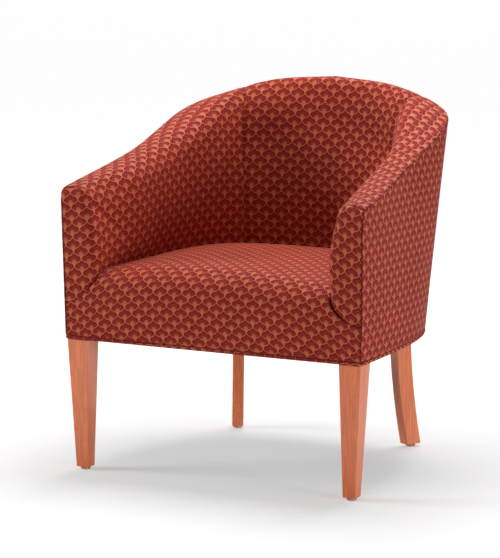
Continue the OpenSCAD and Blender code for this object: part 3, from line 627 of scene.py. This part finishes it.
def back_lines():
    """Lines of the outside back panel."""
    span = 1 - SEAM_U - SEAM_GAP
    lap = LAP["right"]
    u = lines(1 - span, 1 + span, 2 * span * RIM_LENGTH, PITCH, EDGE_TURN, EDGE_TURN)
    return u * RIM_LENGTH - lap + lap * PI / 2


# Meshes
def add_object(name, data):
    obj = bpy.data.objects.new(name, data)
    scene.collection.objects.link(obj)
    return obj


def make_object(name, verts, faces):
    mesh = bpy.data.meshes.new(name)
    mesh.from_pydata([tuple(v) for v in verts], [], [tuple(int(i) for i in f) for f in faces])
    return add_object(name, mesh)


def solid(name, verts, faces, sharp=50):
    """A closed mesh with its faces outwards, shaded smooth but for real edges."""
    obj = make_object(name, verts, faces)
    bm = bmesh.new()
    bm.from_mesh(obj.data)
    bmesh.ops.recalc_face_normals(bm, faces=bm.faces)
    bm.to_mesh(obj.data)
    bm.free()
    obj.data.shade_smooth()
    obj.data.set_sharp_from_angle(angle=math.radians(sharp))
    return obj


def sheet_quads(n, m):
    """Faces of a grid of n by m points."""
    i = np.arange(n * m).reshape(n, m)
    return stack(i[:-1, :-1], i[1:, :-1], i[1:, 1:], i[:-1, 1:]).reshape(-1, 4)


def closed_form(name, top, under, cloth):
    """A closed piece between the cloth's surface and its underside, with its cloth coordinates."""
    n, m = top.shape[:2]
    k = n * m
    quads = sheet_quads(n, m)
    i = np.arange(k).reshape(n, m)
    edges = (i[0, ::-1], i[:, 0], i[-1, :], i[::-1, -1])
    rims = [stack(e[:-1], e[:-1] + k, e[1:] + k, e[1:]) for e in edges]
    faces = np.concatenate([quads, quads[:, ::-1] + k, *rims])
    verts = np.concatenate([top.reshape(-1, 3), under.reshape(-1, 3)]) * MM
    obj = solid(name, verts, faces)
    store_weave(obj, np.tile(cloth.reshape(-1, 3), (2, 1)))
    return obj


def store_weave(obj, cloth):
    """Keeps each point's cloth coordinates, in metres, and its painted seam shade on the mesh."""
    weave = obj.data.attributes.new("weave", "FLOAT_VECTOR", "POINT")
    weave.data.foreach_set("vector", (cloth * [MM, MM, 1]).astype(np.float32).ravel())


SIM_FRAMES, LEAST_HELD = 20, 0.02


def swell(name, top, free, pressure, cap):
    """Cloth over its padding: held at the seams, it is pressed out by the padding. free is 0 at the seams."""
    n, m = top.shape[:2]
    obj = make_object(name + "_cloth", top.reshape(-1, 3) * MM, sheet_quads(n, m))
    group = obj.vertex_groups.new(name="held")
    for i, weight in enumerate((1 - clamp01(free)).reshape(-1)):
        if weight > LEAST_HELD:
            group.add([i], float(weight), "REPLACE")
    mod = obj.modifiers.new("Cloth", "CLOTH")
    s = mod.settings
    s.quality, s.mass, s.air_damping = 4, 0.3, 2.0
    s.tension_stiffness = s.compression_stiffness = 12
    s.shear_stiffness, s.bending_stiffness = 6, 0.8
    s.use_pressure, s.uniform_pressure_force = True, pressure
    s.effector_weights.gravity = 0
    s.vertex_group_mass = "held"
    mod.collision_settings.use_self_collision = False
    mod.point_cache.frame_start, mod.point_cache.frame_end = 1, SIM_FRAMES
    for f in range(1, SIM_FRAMES + 1):
        scene.frame_set(f)
    shaped = obj.evaluated_get(bpy.context.evaluated_depsgraph_get())
    co = np.zeros(n * m * 3, np.float32)
    shaped.data.vertices.foreach_get("co", co)
    bpy.data.objects.remove(obj)
    scene.frame_set(1)
    moved = co.reshape(n, m, 3) / MM - top
    far = np.linalg.norm(moved, axis=2, keepdims=True)
    print(name, "cloth moved", round(float(far.mean()), 2), "mm, at most", round(float(far.max()), 2))
    return top + moved * np.minimum(1, cap / np.maximum(far, 1e-6)) * step(0, 1, free)[..., None]


# Materials
def lin(r, g, b):
    """A colour given as it looks on screen, 0 to 255, as the shader takes it."""
    c = [x / 255 for x in (r, g, b)]
    return tuple(x / 12.92 if x <= 0.04045 else ((x + 0.055) / 1.055) ** 2.4 for x in c) + (1.0,)


BURGUNDY_RIM, BURGUNDY, BURGUNDY_ARC = lin(128, 8, 10), lin(132, 14, 14), lin(172, 66, 50)
GOLD, GOLD_TIP, GOLD_LINE = lin(204, 110, 66), lin(190, 94, 58), lin(208, 106, 76)
# The last tone here is painted shade, laid over the cloth in its seams and creases
GOLD_HEART, GOLD_DOT, PAINTED_SHADE_TONE = lin(150, 60, 44), lin(116, 66, 36), lin(34, 8, 8)


class Graph:
    """Short calls that build the nodes of a new material, or of a world."""

    def __init__(self, name, world=None):
        self.owner = world or bpy.data.materials.new(name)
        self.owner.use_nodes = True
        self.tree = self.owner.node_tree
        self.tree.nodes.clear()
        self.surface = self.add("ShaderNodeOutput" + ("World" if world else "Material")).inputs["Surface"]

    def add(self, kind, **props):
        node = self.tree.nodes.new(kind)
        for key, value in props.items():
            setattr(node, key, value)
        return node

    def put(self, socket, value):
        if isinstance(value, bpy.types.NodeSocket):
            self.tree.links.new(value, socket)
        elif value is not None:
            socket.default_value = value

    def fill(self, node, *values):
        for socket, value in zip(node.inputs, values):
            self.put(socket, value)
        return node.outputs[0]

    def math(self, op, *values):
        return self.fill(self.add("ShaderNodeMath", operation=op), *values)

    def ramp(self, x, low, high, a=0.0, b=1.0):
        """From a to b, eased, as x goes from low to high."""
        return self.fill(self.add("ShaderNodeMapRange", interpolation_type="SMOOTHSTEP"), x, low, high, a, b)

    def curve(self, x, points):
        """A line through points, with x and y from 0 to 1."""
        node = self.add("ShaderNodeFloatCurve")
        line = node.mapping.curves[0]
        while len(line.points) < len(points):
            line.points.new(0.5, 0.5)
        for point, (px, py) in zip(line.points, points):
            point.location = (px, py)
            point.handle_type = "VECTOR"
        node.mapping.update()
        self.put(node.inputs["Value"], x)
        return node.outputs[0]

    def blend(self, share, a, b):
        node = self.add("ShaderNodeMix", data_type="RGBA")
        self.put(node.inputs["Factor"], share)
        self.put(node.inputs["A"], a)
        self.put(node.inputs["B"], b)
        return node.outputs["Result"]

    def mul(self, a, b):
        return self.math("MULTIPLY", a, b)

    def plus(self, a, b):
        return self.math("ADD", a, b)

    def minus(self, a, b):
        return self.math("SUBTRACT", a, b)

    def choose(self, share, a, b):
        return self.plus(a, self.mul(share, self.minus(b, a)))

    def split(self, vector):
        node = self.add("ShaderNodeSeparateXYZ")
        self.fill(node, vector)
        return node.outputs[:3]

    def vector(self, x, y):
        return self.fill(self.add("ShaderNodeCombineXYZ"), x, y)

    def noise(self, vector, scale, detail=2.0, rough=0.5):
        node = self.add("ShaderNodeTexNoise")
        self.put(node.inputs["Vector"], vector)
        for key, value in (("Scale", scale), ("Detail", detail), ("Roughness", rough)):
            node.inputs[key].default_value = value
        return node.outputs["Fac"]

    def position(self, scale=(1, 1, 1)):
        coords = self.add("ShaderNodeTexCoord")
        node = self.add("ShaderNodeMapping")
        node.inputs["Scale"].default_value = scale
        self.put(node.inputs["Vector"], coords.outputs["Object"])
        return node.outputs[0]

    def bump(self, height, distance, strength):
        node = self.add("ShaderNodeBump")
        node.inputs["Strength"].default_value = strength
        node.inputs["Distance"].default_value = distance
        self.put(node.inputs["Height"], height)
        return node.outputs[0]

    def shader(self, color, roughness, normal=None, **sockets):
        node = self.add("ShaderNodeBsdfPrincipled")
        self.put(node.inputs["Base Color"], color)
        self.put(node.inputs["Roughness"], roughness)
        self.put(node.inputs["Normal"], normal)
        for key, value in sockets.items():
            node.inputs[key.replace("_", " ")].default_value = value
        self.put(self.surface, node.outputs[0])
        return self.owner


SCALE_W, SCALE_H = 33.0, 15.3
# Outline of a scale above its side points, from its tip to the side: share of half width, share of a row
SCALE_EDGE = [
    (0, 1), (0.1, 0.93), (0.2, 0.86), (0.3, 0.735), (0.4, 0.66),
    (0.55, 0.61), (0.7, 0.56), (0.84, 0.42), (0.94, 0.22), (1, 0),
]
# How much the outline's slope thins the line drawn below it
SCALE_SLOPE = [(0, 0.8), (0.42, 0.8), (0.55, 0.92), (0.66, 0.9), (0.78, 0.72), (0.9, 0.5), (1, 0.34)]
# The gold fan's middle, half width, widening and dome height, in rows and shares of the width
FAN_Y, FAN_HALF, FAN_FLARE, FAN_RISE = -0.36, 0.18, 0.6, 0.46
# Outline and fan edges, from full to none: mm below the outline, and shares of the fan's size
LINE_EDGE, FAN_EDGE = (1.1, 2.3, 1.0, 0.0), (0.7, 1.15, 1.0, 0.0)
# Rings round the fan's middle: radius in shares of its size, and strength
RING_WIDTH, ARC_NEAR, ARC_FAR, HEART = 0.24, (1.5, 0.7), (2.1, 0.42), (0.62, 0.55)
WARP_PITCH, WEFT_PITCH = 0.0011, 0.0009


def upholstery():
    """Woven cloth with overlapping scales: gold outlines and fans on burgundy, and painted shade in its seams
    and creases.
    """
    g = Graph("upholstery")
    weave = g.add("ShaderNodeAttribute", attribute_name="weave")
    # The third part of the weave attribute is painted shade for the seams and creases
    across, up, seam = g.split(weave.outputs["Vector"])
    x = g.math("DIVIDE", across, SCALE_W * MM)
    y = g.math("DIVIDE", up, SCALE_H * MM)
    found = []
    for parity in (0, 1):
        local = g.minus(g.math("FRACT", g.plus(x, 0.5 - parity / 2)), 0.5)
        side = g.mul(g.math("ABSOLUTE", local), 2.0)
        edge = g.curve(side, SCALE_EDGE)
        rows = g.mul(g.minus(g.minus(y, edge), float(parity)), 0.5)
        row = g.plus(g.mul(g.math("FLOOR", rows), 2.0), 2.0 + parity)
        found.append((side, edge, row))
    odd = g.math("LESS_THAN", found[1][2], found[0][2])
    side, edge, row = (g.choose(odd, a, b) for a, b in zip(*found))
    local_y = g.minus(y, row)
    depth = g.minus(edge, local_y)
    depth = g.mul(depth, g.curve(side, SCALE_SLOPE))
    depth = g.mul(depth, SCALE_H)
    outline = g.ramp(depth, *LINE_EDGE)
    # The fan: an oval dome that widens again below its middle
    above = g.math("DIVIDE", g.math("MAXIMUM", g.minus(local_y, FAN_Y), 0.0), FAN_RISE)
    below = g.math("MAXIMUM", g.minus(FAN_Y, local_y), 0.0)
    half = g.math("MULTIPLY_ADD", below, FAN_FLARE, FAN_HALF)
    reach = g.math("DIVIDE", g.mul(side, 0.5), half)
    far = g.math("SQRT", g.plus(g.mul(reach, reach), g.mul(above, above)))
    fan = g.ramp(far, *FAN_EDGE)

    def ring(radius, strength):
        away = g.math("ABSOLUTE", g.minus(far, radius))
        return g.mul(g.ramp(away, RING_WIDTH * 0.3, RING_WIDTH, 1.0, 0.0), strength)

    arcs = g.math("MAXIMUM", ring(*ARC_NEAR), ring(*ARC_FAR))
    speck = g.ramp(g.math("ABSOLUTE", g.plus(local_y, 0.46)), 0.03, 0.1, 1.0, 0.0)
    dot = g.mul(g.ramp(side, 0.02, 0.08, 1.0, 0.0), speck)
    color = g.blend(g.ramp(depth, 3.0, 9.0), BURGUNDY_RIM, BURGUNDY)
    # Pattern tones laid one over another, with the painted shade in the seams and creases last
    for share, tone in (
        (arcs, BURGUNDY_ARC), (fan, g.blend(g.ramp(local_y, -0.5, 0.1), GOLD, GOLD_TIP)),
        (ring(*HEART), GOLD_HEART), (g.mul(dot, 0.6), GOLD_DOT), (outline, GOLD_LINE),
        (g.mul(seam, 0.85), PAINTED_SHADE_TONE),
    ):
        color = g.blend(share, color, tone)
    # Threads: fine ribs across, with each pick a little lighter or darker
    warp = g.math("SINE", g.mul(across, 2 * PI / WARP_PITCH))
    weft = g.math("SINE", g.mul(up, 2 * PI / WEFT_PITCH))
    thread = g.mul(g.plus(g.mul(warp, weft), 1.0), 0.5)
    picks = g.noise(g.vector(g.mul(across, 120.0), g.mul(up, 900.0)), 1.0, 1.0)
    worn = g.noise(g.vector(across, up), 9.0, 3.0)
    light = g.plus(g.ramp(picks, 0.3, 0.7, 0.92, 1.08), g.ramp(worn, 0.3, 0.7, -0.05, 0.05))
    light = g.mul(light, g.plus(g.mul(thread, 0.12), 0.94))
    bright = g.add("ShaderNodeHueSaturation")
    g.put(bright.inputs["Value"], light)
    g.put(bright.inputs["Color"], color)
    gold = g.math("MAXIMUM", outline, fan)
    height = g.plus(g.mul(gold, 0.7), g.mul(thread, 0.3))
    return g.shader(
        bright.outputs[0], g.choose(gold, 0.85, 0.5), g.bump(height, 0.0005, 0.7),
        Sheen_Weight=0.28, Sheen_Roughness=0.3, Sheen_Tint=(1.0, 0.32, 0.36, 1.0),
        Specular_IOR_Level=0.19,
    )


def wood(name, dark, pale, gloss, coat=0.0):
    """Wood with its grain along Z: long fibres, broad bands and pores."""
    g = Graph(name)
    fibre = g.noise(g.position((260, 260, 9)), 1.0, 4.0, 0.6)
    band = g.noise(g.position((38, 38, 2.4)), 1.0, 2.0)
    pore = g.noise(g.position((900, 900, 26)), 1.0, 1.0)
    color = g.blend(g.ramp(band, 0.3, 0.7), lin(*dark), lin(*pale))
    color = g.blend(g.ramp(fibre, 0.35, 0.65, 0.35, 0.0), color, lin(*[0.72 * c for c in dark]))
    color = g.blend(g.ramp(pore, 0.6, 0.72, 0.0, 0.35), color, lin(*[0.55 * c for c in dark]))
    normal = g.bump(g.plus(fibre, g.mul(pore, 0.5)), 0.00015, 0.5)
    rough = g.ramp(fibre, 0.3, 0.7, gloss - 0.06, gloss + 0.08)
    return g.shader(color, rough, normal, Coat_Weight=coat, Coat_Roughness=0.18)


def metal(name, tone, gloss, worn):
    """Metal with dull patches and fine scratches."""
    g = Graph(name)
    grime = g.noise(g.position((60, 60, 60)), 1.0, 4.0)
    scratch = g.noise(g.position((900, 120, 120)), 1.0, 2.0)
    color = g.blend(g.ramp(grime, 0.4, 0.75), lin(*tone), lin(*worn))
    rough = g.ramp(scratch, 0.3, 0.7, gloss - 0.08, gloss + 0.12)
    return g.shader(color, rough, g.bump(scratch, 0.0001, 0.3), Metallic=1.0)


def cloth_like(name, dark, pale, pitch, rough):
    """Plain woven cloth, webbing or card: a fine weave over object coordinates."""
    g = Graph(name)
    waves = [g.math("SINE", g.mul(s, 2 * PI / (pitch * MM))) for s in g.split(g.position())]
    weave = g.mul(g.plus(waves[0], waves[2]), waves[1])
    specks = g.noise(g.position((400, 400, 400)), 1.0, 2.0)
    color = g.blend(g.ramp(weave, -1.2, 1.2), lin(*dark), lin(*pale))
    color = g.blend(g.ramp(specks, 0.35, 0.65, 0.3, 0.0), color, lin(*[0.8 * c for c in dark]))
    return g.shader(color, rough, g.bump(g.plus(weave, specks), 0.0003, 0.6))


MATERIALS = {
    "cover_fabric": upholstery(),
    "leg_wood": wood("cherry_stain", (252, 130, 76), (255, 144, 88), 0.34, 0.7),
    "frame_wood": wood("beech", (196, 160, 112), (222, 188, 142), 0.6),
    "steel": metal("steel", (178, 178, 182), 0.32, (120, 112, 104)),
    "glide_metal": metal("copper_glide", (214, 168, 148), 0.3, (168, 124, 104)),
    "webbing": cloth_like("jute", (150, 116, 72), (186, 150, 100), 2.2, 0.9),
    "card": cloth_like("card", (170, 150, 112), (186, 166, 128), 1.0, 0.85),
    "dust_cloth": cloth_like("black_cambric", (22, 22, 24), (44, 44, 48), 0.9, 0.9),
}


def dress(obj, slot, *nodes):
    """Gives a piece the material of its slot and its body, and hides the CAD nodes that it stands for."""
    obj.data.materials.clear()
    obj.data.materials.append(MATERIALS[slot])
    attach(obj, "root")
    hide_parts(*nodes)


# Upholstered pieces
def pad_piece(name, shape, pressure, cap, *nodes):
    """A pad whose cloth is pressed out by its padding, by up to cap mm."""
    top, under, cloth, free = shape
    obj = closed_form(name, swell(name, top, free, pressure, cap), under, cloth)
    dress(obj, "cover_fabric", *nodes)


def outside_panel(name, shape, node):
    """Cloth stretched over the outside of the frame."""
    obj = closed_form(name, *shape)
    dress(obj, "cover_fabric", node)


PIPE_SIDES, BIAS = 14, 0.7071


def piping():
    """Piping round the lower edge of the body, a closed loop in cloth cut on the bias."""
    u = np.linspace(0.015, 1, 130)
    wall = at(BASE, u) - outward(u) * (WELT_R - 1)
    front = [(x, 2.5) for x in np.linspace(0, 318, 60)] + [(324, 2.6), (329, 3.4), (331.3, 6), (331.5, 9)]
    right = np.concatenate([front, wall])
    loop = np.concatenate([right, right[-2:0:-1] * [-1, 1]]) + [0, Y_SHIFT]
    path = join3(loop, np.full(len(loop), BODY_Z + WELT_R + 0.1))
    ahead = np.roll(path, -1, axis=0) - np.roll(path, 1, axis=0)
    ahead /= np.linalg.norm(ahead, axis=1, keepdims=True)
    out = np.cross(ahead, [0, 0, 1])
    out /= np.linalg.norm(out, axis=1, keepdims=True)
    up = np.cross(out, ahead)
    a = 2 * PI * np.arange(PIPE_SIDES) / PIPE_SIDES
    ring = path[:, None] + WELT_R * (out[:, None] * np.cos(a)[:, None] + up[:, None] * np.sin(a)[:, None])
    i = np.arange(len(path) * PIPE_SIDES).reshape(-1, PIPE_SIDES)
    j = np.roll(i, -1, axis=0)
    faces = stack(i, np.roll(i, -1, axis=1), np.roll(j, -1, axis=1), j).reshape(-1, 4)
    obj = solid("bottom_piping", ring.reshape(-1, 3) * MM, faces)
    run = running(np.linalg.norm(np.diff(path, axis=0), axis=1))[:, None]
    fold = np.where(a > PI, a - 2 * PI, a) * WELT_R
    # Painted shade on the piping's upper side, in the groove above it
    painted_shade = np.broadcast_to(0.35 * np.maximum(0, np.sin(a)) ** 4, i.shape)
    store_weave(obj, stack((run + fold) * BIAS, (run - fold) * BIAS, painted_shade))
    dress(obj, "cover_fabric", "bottom_welt")


def front_leg(name, side):
    """A square tapered leg, most of its taper on the outer and front faces."""
    verts = []
    for t in np.linspace(0, 1, 9):
        size = mix(LEG_FOOT, LEG_TOP, t)
        taper = (LEG_TOP - size) * OUTER_TAPER
        x, y, z = LEG_OUT - taper, LEG_IN_Y + taper + Y_SHIFT, mix(GLIDE_H, BODY_Z, t)
        for dx, dy in ((-1, 0), (0, 0), (0, 1), (-1, 1)):
            verts.append((side * (x + dx * size), y + dy * size, z))
    leg_piece("front_leg", name, verts)


def leg_piece(kind, name, verts):
    """A leg through rings of four points, its edges eased."""
    i = np.arange(len(verts)).reshape(-1, 4)
    j = np.roll(i, -1, axis=1)
    sides = stack(i[:-1], j[:-1], j[1:], i[1:]).reshape(-1, 4)
    obj = solid(kind + "_wood_" + name, np.array(verts) * MM, [*sides, i[0], i[-1]], 35)
    mod = obj.modifiers.new("eased", "BEVEL")
    mod.width, mod.segments, mod.limit_method = EASED_EDGE * MM, 3, "ANGLE"
    mod.angle_limit = math.radians(30)
    mod.harden_normals = False
    dress(obj, "leg_wood", kind + "_" + name)


def rear_leg(name, side):
    """A leg that sweeps back and outwards in a curve."""
    a = math.radians(REAR_ANGLE)
    out, along = np.array([math.sin(a), math.cos(a)]), np.array([math.cos(a), -math.sin(a)])
    verts = []
    for t in np.linspace(0, 1, 25):
        sweep = REAR_SWEEP * (1 - t) ** SWEEP_POWER
        half = mix(REAR_DEPTH / 2 - 1.5, REAR_DEPTH / 2, t)
        for e, h in ((-1, -1), (1, -1), (1, 1), (-1, 1)):
            p = np.array(REAR_TOP) + out * (sweep + h * half) + along * e * REAR_THICK / 2
            verts.append((side * p[0], p[1] + Y_SHIFT, mix(GLIDE_H, BODY_Z, t)))
    leg_piece("rear_leg", name, verts)


CAMBRIC_THICK = 1.0


def dust_cloth():
    """Black cloth stapled under the seat, sagging a little between its edges."""
    u = np.linspace(0.02, 1.98, 220)
    rim = at(BASE, u) - outward(u) * 9
    middle = np.array([0, 290])
    share = np.array([1, 0.985, 0.95, 0.9, 0.82, 0.7, 0.55, 0.4, 0.25, 0.12, 0.03])
    xy = middle + (rim - middle)[:, None] * share[None, :, None]
    ripple = 0.25 * np.sin(2 * PI * u * 20)[:, None] * step(0.01, 0.1, 1 - share)
    sag = 4.0 * step(0.05, 0.6, 1 - share) + ripple
    low = join3(xy + [0, Y_SHIFT], BODY_Z - sag)
    n, m = low.shape[:2]
    verts = np.concatenate([low.reshape(-1, 3), (low + [0, 0, CAMBRIC_THICK]).reshape(-1, 3)])
    k = n * m
    i = np.arange(k).reshape(n, m)
    j = np.roll(i, -1, axis=0)
    quads = stack(i[:, :-1], i[:, 1:], j[:, 1:], j[:, :-1]).reshape(-1, 4)
    rim_quads = stack(i[:, 0], j[:, 0], j[:, 0] + k, i[:, 0] + k)
    faces = [*quads, *(quads[:, ::-1] + k), *rim_quads, i[:, -1], i[::-1, -1] + k]
    obj = solid("dust_cloth_sheet", verts * MM, faces)
    dress(obj, "dust_cloth", "dust_cover")


pad_piece("seat_pad", seat_shape(), 4.0, 4.0, "seat_cover", "seat_foam", "front_padding")
pad_piece("inside_back_pad", back_shape(), 3.0, 4.0, "inside_back_cover", "inside_back_foam")
for s in ("right", "left"):
    pad_piece("inside_arm_pad_" + s, arm_shape(s), 3.0, 3.0, "inside_arm_cover_" + s, "inside_arm_foam_" + s)
    shape = outside_shape(side_lines(LAP[s]), LAP[s], True, "side_" + s, s == "left")
    outside_panel("outside_arm_panel_" + s, shape, "outside_arm_cover_" + s)
shape = outside_shape(back_lines(), LAP["right"], False, "outside_back")
outside_panel("outside_back_panel", shape, "outside_back_cover")
piping()
for name, side in (("right", 1), ("left", -1)):
    front_leg(name, side)
    rear_leg(name, side)
dust_cloth()

# CAD nodes that stay, apart from the beech frame
NODE_SLOTS = {"nail_glides": "glide_metal", "tack_strips": "card"}
for name in ("seat_decking", "back_webbing", "arm_webbing_left", "arm_webbing_right"):
    NODE_SLOTS[name] = "webbing"
for name in (
    "hanger_bolts", "leg_inserts", "block_screws", "seat_springs", "spring_clips",
    "spring_tie_wires", "dust_cover_staples",
):
    NODE_SLOTS[name] = "steel"
for name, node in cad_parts.items():
    if not node.hide_render:
        node.data.materials.clear()
        node.data.materials.append(MATERIALS[NODE_SLOTS.get(name, "frame_wood")])

# Camera at the photograph's viewing angle
CAM_AT, AZIMUTH, ELEVATION, TILT = (2.5366, -5.3464, 1.3094), 25.87, 8.88, 0.47
camera = add_object("camera", bpy.data.cameras.new("camera"))
view = Matrix.Translation(CAM_AT)
for degrees, axis in ((AZIMUTH, "Z"), (90 - ELEVATION, "X"), (TILT, "Z")):
    view = view @ Matrix.Rotation(math.radians(degrees), 4, axis)
camera.matrix_world = view
camera.data.lens, camera.data.sensor_width = 184.2, 36
camera.data.clip_start, camera.data.clip_end = 0.1, 200
scene.camera = camera


# Floor, lights and surroundings
SKY_LIGHT, FLOOR_SIZE = 0.1, 60.0
# The floor's own glow: radius in m where it starts and ends to rise, and its strength there
FLOOR_GLOW = (0.3, 1.9, 0.4, 0.86)
FLOOR_BOUNCE, FLOOR_SEEN = lin(228, 228, 230), lin(198, 198, 199)


def floor():
    """A pale floor that glows for the camera alone, less so round the chair, and keeps its shadow."""
    g = Graph("studio_floor")
    path = g.add("ShaderNodeLightPath")
    mat = g.shader(g.blend(path.outputs["Is Camera Ray"], FLOOR_BOUNCE, FLOOR_SEEN), 0.9)
    pale = g.surface.links[0].from_socket
    glow = g.add("ShaderNodeEmission")
    g.put(glow.inputs["Color"], (1, 1, 1, 1))
    x, y, _ = g.split(g.position())
    radius = g.math("SQRT", g.plus(g.mul(x, x), g.mul(y, y)))
    g.put(glow.inputs["Strength"], g.mul(path.outputs["Is Camera Ray"], g.ramp(radius, *FLOOR_GLOW)))
    g.put(g.surface, g.fill(g.add("ShaderNodeAddShader"), pale, glow.outputs[0]))
    corners = [(a * FLOOR_SIZE, b * FLOOR_SIZE, 0) for a, b in ((-1, -1), (1, -1), (1, 1), (-1, 1))]
    obj = make_object("floor", corners, [(0, 1, 2, 3)])
    obj.data.materials.append(mat)


def surroundings():
    """White where the camera or a reflection sees it, and faint as a light."""
    scene.world = bpy.data.worlds.new("studio")
    g = Graph("studio", scene.world)
    path = g.add("ShaderNodeLightPath").outputs
    mirrored = g.math("MAXIMUM", path["Is Glossy Ray"], path["Is Transmission Ray"])
    seen = g.math("MAXIMUM", path["Is Camera Ray"], mirrored)
    sky = g.add("ShaderNodeBackground")
    g.put(sky.inputs["Color"], (1, 1, 1, 1))
    g.put(sky.inputs["Strength"], g.ramp(seen, 0.0, 1.0, SKY_LIGHT, 1.0))
    g.put(g.surface, sky.outputs[0])


def lamp(name, place_at, look_at, size, power):
    """A square softbox, in m and W."""
    data = bpy.data.lights.new(name, "AREA")
    data.shape, data.size, data.energy = "SQUARE", size, power
    obj = add_object(name, data)
    obj.location = place_at
    obj.rotation_euler = (Vector(look_at) - Vector(place_at)).to_track_quat("-Z", "Y").to_euler()


floor()
surroundings()
lamp("softbox_above", (0.0, 0.65, 2.65), (0, 0.05, 0.4), 1.5, 57)
lamp("softbox_right", (3.4, -1.1, 0.65), (0, 0, 0.35), 1.2, 45)
lamp("softbox_left", (-3.1, -1.6, 1.6), (0, 0, 0.45), 1.3, 69)
scene.view_settings.view_transform = "Standard"
